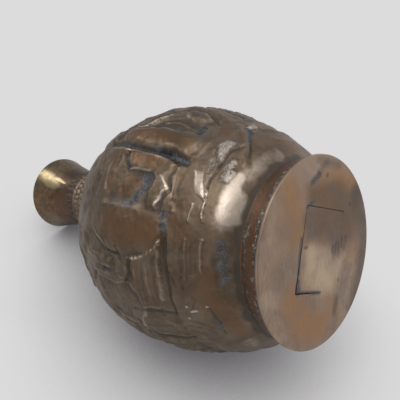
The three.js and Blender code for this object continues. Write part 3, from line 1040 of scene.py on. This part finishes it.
def inward(points, wall):
    """The same outline moved into the wall, from the top down."""
    along = np.gradient(points, axis=0)
    along /= np.hypot(*along.T)[:, None]
    return (points + wall * np.column_stack([-along[:, 1], along[:, 0]]))[::-1]


def body_rise(bearing, height):
    return relief(bearing, height) - BAND_SINK * soft_step(height, GROOVE_HEIGHT, BAND_HEIGHT)


BODY_MASKS = {"shine": POLISH_AND_HIGHLIGHTS, "stain": STAIN, "warmth": WARM, "broken": BROKEN}
print("masks painted on the body:", ", ".join(BODY_MASKS))

# %% The lower bowl, with painted shade in the groove
# Painted shade in the groove under the belly, and a darker line along the lower edge of the bright
# facet.
GROOVE_SHADE = [
    mound([(-90, 9.1), (90, 9.1)], 2.1, 0.75),
    mound([(46, 13.2), (41, 12.4), (36, 12)], 0.9, 0.32),
]
lower_masks = {**BODY_MASKS, "hollow": GROOVE_SHADE}
lower_outer = outline_between(GROOVE_HEIGHT, SEAM_HEIGHT, LOWER_ROWS)
lower_inner = inward(
    outline_between(GROOVE_HEIGHT, SEAM_HEIGHT, LOWER_INNER_ROWS), BODY_WALL
)
lip_inner = lower_inner[0, 0]
lip_outer = lip_inner + LAP_WALL
bowl_floor = GROOVE_HEIGHT + FLOOR_THICKNESS
lower_back = np.vstack(
    [
        [(lip_outer, SEAM_HEIGHT), (lip_outer, lip_top), (lip_inner, lip_top)],
        lower_inner[lower_inner[:, 1] > bowl_floor],
        [(GROOVE_RADIUS - BODY_WALL, bowl_floor), (0, bowl_floor), (0, GROOVE_HEIGHT)],
    ]
)
polished_bowl = turned_piece(
    "polished_bowl", lower_outer, lower_back, BODY_COLUMNS, body_rise, lower_masks
)
seat(polished_bowl, "lower_bowl")

# %% The upper bowl
upper_outer = outline_between(SEAM_HEIGHT, NECK_ROOT, UPPER_ROWS)
upper_inner = inward(outline_between(SEAM_HEIGHT, NECK_ROOT, UPPER_INNER_ROWS), BODY_WALL)
rebate = upper_inner[-1, 0] + LAP_WALL + BRAZE_GAP
rebate_top = lip_top + BRAZE_GAP
hole = SPIGOT_RADIUS + BRAZE_GAP
clear = (upper_inner[:, 1] > rebate_top + BODY_WALL) & (upper_inner[:, 0] > hole)
upper_inner = upper_inner[clear]
upper_back = np.vstack(
    [
        [(hole, NECK_ROOT), (hole, upper_inner[0, 1])],
        upper_inner,
        [(rebate, rebate_top), (rebate, SEAM_HEIGHT)],
    ]
)
relief_bowl = turned_piece(
    "relief_bowl", upper_outer, upper_back, BODY_COLUMNS, body_rise, BODY_MASKS
)
seat(relief_bowl, "upper_bowl")

# %% [markdown]
# ## The collar and the mouth
#
# The collar was punched all over with small grains before the polished neck was set in it. The
# mouth is a smooth trumpet whose lip is rounded, so its outline is a Bezier curve. Just above the
# collar its surface is still as rough as it was cast.

# %% The grained collar
SLEEVE_HEIGHT, SLEEVE_RADIUS, WAIST_RADIUS = 9, 17, 14.8
SLEEVE_TOP = NECK_ROOT + SLEEVE_HEIGHT
GRAIN_ROW, GRAINS_AROUND, GRAIN_RISE = 2.7, 32, 0.8
COLLAR_ROWS, COLLAR_COLUMNS, COLLAR_DENT = 26, 416, 0.4
COLLAR_SWAY, SWAY_UP, SWAY_ACROSS = 0.5, 1.4, 1.6
collar_stations = np.array(
    [
        (NECK_ROOT_RADIUS, NECK_ROOT),
        (SLEEVE_RADIUS, (NECK_ROOT + SLEEVE_TOP) / 2),
        (SLEEVE_RADIUS, SLEEVE_TOP),
        (WAIST_RADIUS, SLEEVE_TOP + (COLLAR_TOP - SLEEVE_TOP) / 3),
        (WAIST_RADIUS, COLLAR_TOP),
    ]
)
collar_outer = smooth_curve(collar_stations, COLLAR_ROWS)
collar_bore = SPIGOT_RADIUS + BRAZE_GAP
collar_inner = [(collar_bore, COLLAR_TOP), (collar_bore, NECK_ROOT)]


def collar_rise(bearing, height):
    """Rows of round grains, set half a grain on in every other row, between fine dents."""
    sway = COLLAR_SWAY * noise_grid(bearing, height, seed=6, waves=16, longest=3)
    rows = (height - NECK_ROOT) / GRAIN_ROW + SWAY_UP * sway
    shift = np.floor(rows) % 2 / 2
    across = bearing / 360 * GRAINS_AROUND + shift + SWAY_ACROSS * sway
    grain = np.abs(np.sin(np.pi * rows) * np.sin(np.pi * across))
    edge = np.clip(np.minimum(height - NECK_ROOT, COLLAR_TOP - height), 0, 1)
    dents = COLLAR_DENT * noise_grid(bearing, height, seed=5, waves=12, longest=4)
    return (GRAIN_RISE * np.sqrt(grain) - GRAIN_RISE + dents) * edge


grained_collar = turned_piece(
    "grained_collar", collar_outer, collar_inner, COLLAR_COLUMNS, collar_rise
)
seat(grained_collar, "neck_collar")

# %% The outline of the flared mouth
NECK_RADIUS, NECK_STRAIGHT = 13.3, 10
SPIGOT_FOOT = bottom_of("mouth_flare")
BELL_RADIUS, BELL_DROP = 15.2, 13
LIP_WIDTH, LIP_DROP = 1.8, 1
FLARE_ROWS, FLARE_INNER_ROWS = 48, 30


def bezier(start, leave, arrive, end, steps):
    t = np.linspace(0, 1, steps)[:, None]
    points = [np.array(point, float) for point in (start, leave, arrive, end)]
    weights = ((1 - t) ** 3, 3 * t * (1 - t) ** 2, 3 * t**2 * (1 - t), t**3)
    return sum(weight * point for weight, point in zip(weights, points))


lip_round = LIP_WIDTH / 3
lip_foot = MOUTH_TOP - lip_round
bell_foot = MOUTH_TOP - LIP_DROP - BELL_DROP
flare = bezier(
    (NECK_RADIUS, COLLAR_TOP),
    (NECK_RADIUS, COLLAR_TOP + NECK_STRAIGHT),
    (BELL_RADIUS, bell_foot),
    (MOUTH_RADIUS, lip_foot),
    FLARE_ROWS,
)
flare_inside = bezier(
    (MOUTH_RADIUS - LIP_WIDTH, lip_foot),
    (BELL_RADIUS - LIP_WIDTH, bell_foot),
    (BORE, COLLAR_TOP + NECK_STRAIGHT),
    (BORE, COLLAR_TOP),
    FLARE_INNER_ROWS,
)
flare_outer = np.vstack(
    [
        [(BORE, SPIGOT_FOOT), (SPIGOT_RADIUS, SPIGOT_FOOT), (SPIGOT_RADIUS, COLLAR_TOP)],
        flare,
        rounded_corner(MOUTH_RADIUS - lip_round, lip_foot, lip_round, 0)[1:],
        rounded_corner(MOUTH_RADIUS - LIP_WIDTH + lip_round, lip_foot, lip_round, 90),
    ]
)
print(f"the mouth is {2 * MOUTH_RADIUS:.1f} across, with a lip {LIP_WIDTH} wide")

# %% The flared mouth
MOUTH_COLUMNS, MOUTH_SHARE = 288, 0.4
MOUTH_DENT, MOUTH_PIT, MOUTH_SINK = 0.22, 0.3, 0.2


def flare_rise(bearing, height):
    """Soft dents in the polished part, and pits where it is rough above the collar."""
    above = height - COLLAR_TOP
    free = soft_step(above, 1, 6) * soft_step(MOUTH_TOP - height, 0, 4)
    rough = soft_step(above, 0, 2) * (1 - soft_step(above, 4, 10))
    dents = MOUTH_DENT * noise_grid(bearing, height, seed=8, waves=10, longest=8) - MOUTH_SINK
    narrowed = bearing * MOUTH_SHARE
    pits = MOUTH_PIT * wave_field(narrowed, height, seed=41, count=30, shortest=2, longest=5)
    return dents * free + np.minimum(pits - MOUTH_SINK, 0) * rough


MOUTH_MASKS = {
    # Painted highlights: the two mounds brighten the flare and a streak on the neck; the lip band
    # is polish.
    "shine": [
        mound([(24, 150), (40, 157)], 8, 0.6),
        mound([(34, 143), (38, 148)], 3, 0.7),
        plate([(-90, 146), (120, 146), (120, 170), (-90, 170)], 0.3, 6),
    ],
    "warmth": [mound([(-50, 148), (0, 152)], 18, 1.2), mound([(76, 150)], 12, 0.7)],
    # Painted shade: the narrow neck below the flare is darkened all round.
    "hollow": [plate([(-90, 110), (120, 110), (120, 141), (-90, 141)], 0.3, 7)],
}
polished_mouth = turned_piece(
    "polished_mouth", flare_outer, flare_inside[1:], MOUTH_COLUMNS, flare_rise, MOUTH_MASKS
)
seat(polished_mouth, "mouth_flare")

# %% [markdown]
# ## Aged brass
#
# All the pieces are the same metal at different ages, so what they share is a node group. It lays
# brown patina in two tones, orange patches, bare brass where the metal is worn or kept bright, as
# polish and painted highlights, grey crumbs where it is broken, dirt and painted shade in the
# hollows and dark stains with a bluish bloom. Brush stretches the fine noise in one direction, as
# fine brushing does. The group gives a colour, a roughness and how much of the surface is metal.
# The Principled shader stays in each material.

# %% Helpers that place and link nodes


def add_node(tree, kind, values=None, **settings):
    """Adds a node, sets its properties by name and its sockets by name or number."""
    node = tree.nodes.new(kind)
    for key, value in settings.items():
        setattr(node, key, value)
    for key, value in (values or {}).items():
        node.inputs[key].default_value = value
    return node


def link(tree, source, target):
    tree.links.new(source, target)


# %% Helpers that stretch, combine and blend


def ramp(tree, source, low, high):
    """Stretches a value so that low becomes 0 and high becomes 1."""
    node = add_node(tree, "ShaderNodeMapRange", {"From Min": low, "From Max": high})
    node.interpolation_type = "SMOOTHSTEP"
    link(tree, source, node.inputs["Value"])
    return node.outputs["Result"]


def combine(tree, kind, first, second):
    """A Math node over two sources, of which each may be a socket or a number."""
    node = add_node(tree, "ShaderNodeMath", operation=kind)
    for place, source in enumerate((first, second)):
        if isinstance(source, (int, float)):
            node.inputs[place].default_value = source
        else:
            link(tree, source, node.inputs[place])
    return node.outputs[0]


def blend_colour(tree, share, first, second):
    """Mixes two colours, of which each may be a socket or a tuple."""
    node = add_node(tree, "ShaderNodeMix", data_type="RGBA")
    link(tree, share, node.inputs["Factor"])
    for name, source in (("A", first), ("B", second)):
        socket = next(s for s in node.inputs if s.name == name and s.type == "RGBA")
        if isinstance(source, tuple):
            socket.default_value = (*source, 1)
        else:
            link(tree, source, socket)
    return next(s for s in node.outputs if s.type == "RGBA")


def blend_value(tree, share, first, second):
    """Mixes two values that come from sockets."""
    node = add_node(tree, "ShaderNodeMix", data_type="FLOAT")
    for name, source in (("Factor", share), ("A", first), ("B", second)):
        link(tree, source, node.inputs[name])
    return node.outputs[0]


def arithmetic(tree):
    """Short names for what a tree does most: add, multiply, stretch, and take the larger."""
    add, times, most = (partial(combine, tree, kind) for kind in ("ADD", "MULTIPLY", "MAXIMUM"))
    return add, times, partial(ramp, tree), most


# %% Helpers for noise and for new groups


def noise(tree, place, scale, detail=4, roughness=0.55, distortion=0.0):
    values = {"Scale": scale, "Detail": detail, "Roughness": roughness, "Distortion": distortion}
    node = add_node(tree, "ShaderNodeTexNoise", values)
    link(tree, place, node.inputs["Vector"])
    return node.outputs["Fac"]


def new_group(name, inputs, outputs):
    """An empty node group with named value inputs and named outputs."""
    group = bpy.data.node_groups.new(name, "ShaderNodeTree")
    for socket, kind, start in inputs:
        made = group.interface.new_socket(name=socket, in_out="INPUT", socket_type=kind)
        if start is not None:
            made.default_value = start
    for socket, kind in outputs:
        group.interface.new_socket(name=socket, in_out="OUTPUT", socket_type=kind)
    return group


# %% The node group for aged brass
FLOAT, COLOUR, VECTOR = "NodeSocketFloat", "NodeSocketColor", "NodeSocketVector"
MASK_INPUTS = ("Wear", "Hollow", "Shine", "Stain", "Warmth", "Broken")
# The dirt colour also darkens the painted shade that the Hollow mask holds in the groove and at the
# neck.
CRUMB_COLOUR, DIRT_AND_SHADE_COLOUR = (0.26, 0.26, 0.25), (0.035, 0.028, 0.022)
STAIN_COLOUR = (0.022, 0.023, 0.032)


def aged_brass_group():
    group = new_group(
        "aged_brass",
        [
            ("Place", VECTOR, None),
            *[(mask, FLOAT, 0.0) for mask in MASK_INPUTS],
            ("Brush", VECTOR, (1, 1, 1)),
            ("Metal", COLOUR, (0.5, 0.38, 0.24, 1)),
            ("Patina", COLOUR, (0.12, 0.08, 0.05, 1)),
            ("Light patina", COLOUR, (0.2, 0.15, 0.1, 1)),
            ("Warm patina", COLOUR, (0.26, 0.12, 0.05, 1)),
            ("Verdigris", COLOUR, (0.085, 0.095, 0.1, 1)),
            ("Dull roughness", FLOAT, 0.5),
            ("Bright roughness", FLOAT, 0.24),
        ],
        [("Colour", COLOUR), ("Roughness", FLOAT), ("Metallic", FLOAT)],
    )
    inside = add_node(group, "NodeGroupInput")
    outside = add_node(group, "NodeGroupOutput")
    add, times, stretch, most = arithmetic(group)
    blend = partial(blend_colour, group)
    get = inside.outputs
    place = get["Place"]

    # Noise at four sizes, of which the fine one follows the brushing.
    cloud = noise(group, place, 90, detail=6, roughness=0.62, distortion=0.5)
    patch = noise(group, place, 34, detail=3, roughness=0.5, distortion=1.0)
    brushed = add_node(group, "ShaderNodeVectorMath", operation="MULTIPLY")
    link(group, place, brushed.inputs[0])
    link(group, get["Brush"], brushed.inputs[1])
    fine = noise(group, brushed.outputs[0], 480, roughness=0.62)
    speck = noise(group, place, 1400, detail=2, roughness=0.5)

    # Patina in two tones, warm in places.
    light_share = stretch(add(cloud, times(fine, 0.3)), 0.42, 0.92)
    patina = blend(light_share, get["Patina"], get["Light patina"])
    uneven = times(add(cloud, fine), 0.5)
    mixed = times(add(speck, fine), 0.5)
    warm_share = times(get["Warmth"], stretch(uneven, 0.3, 0.62))
    loose = times(stretch(patch, 0.48, 0.7), stretch(uneven, 0.35, 0.7))
    warm_share = most(warm_share, times(loose, 0.55))
    patina = blend(warm_share, patina, get["Warm patina"])

    # Bare brass, faintly where it is rubbed and fully where it is kept bright, as polish and
    # painted highlights.
    rubbed = stretch(add(get["Wear"], times(fine, 0.4)), 0.28, 0.9)
    polish_and_highlight = stretch(add(get["Shine"], times(uneven, 0.9)), 0.52, 1.25)
    bright = most(times(rubbed, 0.33), polish_and_highlight)
    colour = blend(bright, patina, get["Metal"])

    # Grey crumbs where it is broken, then dirt in its cavities and in the hollows, and painted
    # shade where the Hollow mask holds it.
    crumb = times(get["Broken"], stretch(mixed, 0.46, 0.58))
    colour = blend(times(crumb, 0.6), colour, CRUMB_COLOUR)
    cavity = times(get["Broken"], stretch(mixed, 0.52, 0.38))
    dirt_and_shade = add(times(get["Hollow"], 1.2), times(speck, 0.2))
    dirt_and_shade = add(dirt_and_shade, times(cavity, 0.8))
    deep = times(stretch(dirt_and_shade, 0.18, 0.8), 0.7)
    colour = blend(deep, colour, DIRT_AND_SHADE_COLOUR)

    # Dark stains with a bloom.
    blotch = times(add(uneven, mixed), 1.4)
    blotch = stretch(add(get["Stain"], blotch), 1.6, 2.2)
    spots = times(stretch(speck, 0.62, 0.72), stretch(patch, 0.45, 0.6))
    blotch = most(blotch, times(spots, 0.5))
    verdigris = blend(stretch(mixed, 0.44, 0.62), STAIN_COLOUR, get["Verdigris"])
    colour = blend(times(blotch, 0.85), colour, verdigris)
    link(group, colour, outside.inputs["Colour"])

    # Dirt, painted shade and stains are duller and less metallic than the brass.
    gloss = blend_value(group, polish_and_highlight, get["Dull roughness"], get["Bright roughness"])
    gloss = add(gloss, times(deep, 0.15))
    gloss = add(gloss, times(fine, 0.08))
    link(group, gloss, outside.inputs["Roughness"])
    dull = most(deep, blotch)
    metal = combine(group, "SUBTRACT", 0.97, times(dull, 0.7))
    link(group, metal, outside.inputs["Metallic"])
    return group


AGED_BRASS = aged_brass_group()
print("aged_brass has", len(AGED_BRASS.nodes), "nodes")

# %% [markdown]
# ### Scratches and grain
#
# Handling leaves fine scratches, and casting leaves a fine grain. Both are heights for a Bump
# node. Scratches are stretched noise, which costs less than curves and can be laid in any
# direction by scaling the place it is read from. The broken patches get coarser crumbs.

# %% The node group for surface grain
SCRATCH_TURN = (0.1, 0.05, 0.2)


def surface_grain_group():
    group = new_group(
        "surface_grain",
        [
            ("Place", VECTOR, None),
            ("Streak", VECTOR, (1, 1, 14)),
            ("Grain", FLOAT, 0.5),
            ("Scratches", FLOAT, 0.5),
            ("Broken", FLOAT, 0.0),
        ],
        [("Height", FLOAT)],
    )
    inside = add_node(group, "NodeGroupInput")
    outside = add_node(group, "NodeGroupOutput")
    add, times, stretch = arithmetic(group)[:3]
    get = inside.outputs
    place = get["Place"]
    stretched = add_node(group, "ShaderNodeMapping", {"Rotation": SCRATCH_TURN})
    link(group, place, stretched.inputs["Vector"])
    link(group, get["Streak"], stretched.inputs["Scale"])
    scratch = stretch(noise(group, stretched.outputs[0], 300, detail=3, roughness=0.6), 0.55, 0.75)
    pits = stretch(noise(group, place, 900, detail=3, roughness=0.6), 0.25, 0.75)
    total = add(times(pits, get["Grain"]), times(scratch, get["Scratches"]))
    crumbs = stretch(noise(group, place, 800, roughness=0.7), 0.35, 0.65)
    total = add(total, times(crumbs, get["Broken"]))
    link(group, total, outside.inputs["Height"])
    return group


SURFACE_GRAIN = surface_grain_group()
print("surface_grain has", len(SURFACE_GRAIN.nodes), "nodes")

# %% [markdown]
# ### One material for each piece
#
# Every piece has a material of its own, made by one function. It places both groups, reads the
# masks from the mesh and joins everything in a Principled shader. What differs from piece to piece
# is then a short list of colours: the foot is paler and brushed, the mouth is dark and glossy.

# %% The material of a brass piece
FINISH = {
    "Metal": (0.54, 0.455, 0.355),
    "Patina": (0.086, 0.061, 0.039),
    "Light patina": (0.165, 0.126, 0.09),
    "Warm patina": (0.155, 0.078, 0.037),
    "Dull roughness": 0.41,
    "Bright roughness": 0.26,
}
BUMP_DEPTH, CRUMB_BUMP = 0.2 * MM, 2.0


def brass_material(name, finish, grain=0.5, scratches=0.3, bump=0.3, streak=(1, 1, 14)):
    material = bpy.data.materials.new(name)
    material.use_nodes = True
    tree = material.node_tree
    shader = tree.nodes["Principled BSDF"]
    place = add_node(tree, "ShaderNodeTexCoord").outputs["Object"]
    aged = add_node(tree, "ShaderNodeGroup", node_tree=AGED_BRASS)
    for socket, value in {**FINISH, **finish}.items():
        colour = isinstance(value, tuple) and socket != "Brush"
        aged.inputs[socket].default_value = (*value, 1) if colour else value
    link(tree, place, aged.inputs["Place"])
    masks = {}
    for layer in ("wear", "hollow", "stain", "warmth", "shine", "broken"):
        masks[layer] = add_node(tree, "ShaderNodeAttribute", attribute_name=layer).outputs["Fac"]
        link(tree, masks[layer], aged.inputs[layer.capitalize()])
    for output, socket in zip(aged.outputs, ("Base Color", "Roughness", "Metallic")):
        link(tree, output, shader.inputs[socket])
    marks = {"Streak": streak, "Grain": grain, "Scratches": scratches}
    surface = add_node(tree, "ShaderNodeGroup", node_tree=SURFACE_GRAIN)
    for socket, value in marks.items():
        surface.inputs[socket].default_value = value
    link(tree, place, surface.inputs["Place"])
    link(tree, combine(tree, "MULTIPLY", masks["broken"], CRUMB_BUMP), surface.inputs["Broken"])
    raised = add_node(tree, "ShaderNodeBump", {"Strength": bump, "Distance": BUMP_DEPTH})
    link(tree, surface.outputs["Height"], raised.inputs["Height"])
    link(tree, raised.outputs["Normal"], shader.inputs["Normal"])
    return material


def finish_with(piece, material):
    piece.data.materials.clear()
    piece.data.materials.append(material)


# %% The finish of each piece
BRUSHED = {
    "Metal": (0.5, 0.39, 0.27),
    "Patina": (0.24, 0.172, 0.13),
    "Light patina": (0.35, 0.265, 0.2),
    "Warm patina": (0.33, 0.18, 0.08),
    "Dull roughness": 0.42,
    "Bright roughness": 0.36,
    "Brush": (0.55, 1.8, 1),
}
BOWL = {
    "Metal": (0.4, 0.335, 0.275),
    "Patina": (0.104, 0.074, 0.049),
    "Light patina": (0.19, 0.146, 0.106),
    "Dull roughness": 0.42,
    "Bright roughness": 0.36,
}
WALL = {
    "Patina": (0.1, 0.065, 0.047),
    "Light patina": (0.17, 0.11, 0.08),
    "Warm patina": (0.17, 0.085, 0.045),
    "Verdigris": (0.2, 0.24, 0.2),
}
COLLAR = {"Patina": (0.13, 0.095, 0.065), "Light patina": (0.2, 0.15, 0.105)}
MOUTH = {
    "Metal": (0.27, 0.215, 0.12),
    "Patina": (0.066, 0.042, 0.03),
    "Light patina": (0.115, 0.076, 0.052),
    "Warm patina": (0.12, 0.06, 0.034),
    "Dull roughness": 0.38,
    "Bright roughness": 0.27,
}
SCRATCHED = {"scratches": 0.8, "bump": 0.2, "streak": (1.4, 16, 1)}
for piece, name, finish, marks in (
    (relief_bowl, "relief_brass", {}, {}),
    (polished_bowl, "bowl_brass", BOWL, {"grain": 0.3}),
    (foot_wall, "ring_brass", WALL, {}),
    (foot_disc, "disc_brass", BRUSHED, SCRATCHED),
    (foot_patch, "patch_brass", BRUSHED, SCRATCHED),
    (grained_collar, "collar_brass", COLLAR, {}),
    (polished_mouth, "mouth_brass", MOUTH, {"grain": 0.2}),
):
    finish_with(piece, brass_material(name, finish, **marks))
print("materials:", [material.name for material in bpy.data.materials])

# %% [markdown]
# ## The camera
#
# The vase lies on its side in the photograph, and its model stands upright. So the camera moves
# instead: it stands low in front of the vase and is rolled on its side. A small vertical shift
# keeps the photograph's framing without changing the perspective.

# %% The camera
CAMERA_PLACE = Vector((39.5, -183.5, -114.7)) * MM
CAMERA_RIGHT = Vector((0.0418, 0.6902, -0.7224))
CAMERA_UP = Vector((0.9983, 0.0, 0.0578))
LENS, VERTICAL_SHIFT = 54, -0.1
camera_data = bpy.data.cameras.new("photograph_camera")
camera_data.lens = LENS
camera_data.shift_y = VERTICAL_SHIFT
camera = in_scene("photograph_camera", camera_data)
backward = CAMERA_RIGHT.cross(CAMERA_UP).normalized()
up = backward.cross(CAMERA_RIGHT).normalized()
camera.matrix_world = Matrix.Translation(CAMERA_PLACE) @ Matrix(
    (CAMERA_RIGHT.normalized(), up, backward)
).transposed().to_4x4()
camera_data.clip_start = 0.01
bpy.context.scene.camera = camera
print(f"the camera stands {CAMERA_PLACE.length:.3f} m from the foot")

# %% [markdown]
# ## The floor and the light
#
# The vase rests on its belly and its lip, so the floor that it lies on is a slanted plane in the
# model's frame that just clears both. It shows from its upper side only, and it casts no shadow,
# so that it draws no line across the second, level floor under the foot. That one shows only from
# above, for looking at the vase upright. Both are the colour of the background, darkened where
# the vase is near, so that their edges fade into it.

# %% The floors
FLOOR_UP = Vector((0.866, -0.369, -0.3375)).normalized()
FLOOR_DROP = -66.8
FLOOR_SIZE, SHADE_REACH, FLOOR_CLEARANCE = 2.0, 0.06, 0.02
PALE, CONTACT_SHADE = (0.72, 0.71, 0.72), (0.1, 0.095, 0.1)


def pale_floor(name, place, normal):
    """A round plane that shows from above only, with soft contact shading that fades outward."""
    form = bmesh.new()
    bmesh.ops.create_circle(form, cap_ends=True, segments=96, radius=FLOOR_SIZE)
    floor = from_form(name, form)
    upright = normal.to_track_quat("Z", "Y").to_matrix().to_4x4()
    floor.matrix_world = Matrix.Translation(place) @ upright
    material = bpy.data.materials.new(name)
    material.use_nodes = True
    tree = material.node_tree
    tree.nodes.clear()
    near = add_node(tree, "ShaderNodeAmbientOcclusion", {"Distance": SHADE_REACH}, samples=16)
    shade = ramp(tree, near.outputs["AO"], 0.15, 1.0)
    colour = blend_colour(tree, shade, CONTACT_SHADE, PALE)
    glow = add_node(tree, "ShaderNodeEmission")
    link(tree, colour, glow.inputs["Color"])
    clear = add_node(tree, "ShaderNodeBsdfTransparent")
    facing = add_node(tree, "ShaderNodeNewGeometry").outputs["Backfacing"]
    mixed = add_node(tree, "ShaderNodeMixShader")
    for source, socket in zip((facing, glow.outputs[0], clear.outputs[0]), mixed.inputs):
        link(tree, source, socket)
    output = add_node(tree, "ShaderNodeOutputMaterial")
    link(tree, mixed.outputs[0], output.inputs["Surface"])
    finish_with(floor, material)
    return floor


lying_floor = pale_floor("lying_floor", FLOOR_UP * FLOOR_DROP * MM, FLOOR_UP)
level = Vector((0, 0, 1))
standing_floor = pale_floor("standing_floor", -FLOOR_CLEARANCE * MM * level, level)
lying_floor.visible_shadow = False
for ray in ("diffuse", "glossy", "transmission", "volume_scatter", "shadow"):
    setattr(standing_floor, f"visible_{ray}", False)
print("floors:", lying_floor.name, "and", standing_floor.name)

# %% The background and the lamps
ROOM_FLOOR, CEILING = (0.24, 0.23, 0.23), (0.26, 0.25, 0.25)
world = bpy.data.worlds.new("pale_room")
bpy.context.scene.world = world
world.use_nodes = True
sky = world.node_tree
sky.nodes.clear()
direction = add_node(sky, "ShaderNodeTexCoord").outputs["Generated"]
split = add_node(sky, "ShaderNodeSeparateXYZ")
link(sky, direction, split.inputs[0])
above = ramp(sky, split.outputs["Z"], -0.75, 0.0)
room = blend_colour(sky, above, ROOM_FLOOR, PALE)
overhead = ramp(sky, split.outputs["Z"], 0.4, 0.95)
room = blend_colour(sky, overhead, room, CEILING)
light = add_node(sky, "ShaderNodeBackground")
link(sky, room, light.inputs["Color"])
output = add_node(sky, "ShaderNodeOutputWorld")
link(sky, light.outputs[0], output.inputs["Surface"])


def soft_lamp(name, toward, distance, size, power):
    data = bpy.data.lights.new(name, "AREA")
    data.shape = "DISK"
    data.size = size
    data.energy = power
    lamp = in_scene(name, data)
    direction = Vector(toward).normalized()
    lamp.location = Vector((0, 0, BELLY_HEIGHT * MM)) + direction * distance
    lamp.rotation_mode = "QUATERNION"
    lamp.rotation_quaternion = direction.to_track_quat("Z", "Y")
    print(f"{name}: {power} W from {distance} m away")


soft_lamp("window", (0.63, -0.69, -0.35), distance=1.0, size=0.5, power=3.5)
soft_lamp("skylight", (0.65, -0.46, 0.6), distance=1.0, size=0.3, power=1.5)
soft_lamp("bright_wall", (0.88, -0.2, -0.42), distance=1.0, size=0.6, power=1.8)
soft_lamp("fill", (0.2, 0.9, -0.5), distance=1.2, size=1.6, power=6)

bpy.context.scene.view_settings.view_transform = "Standard"
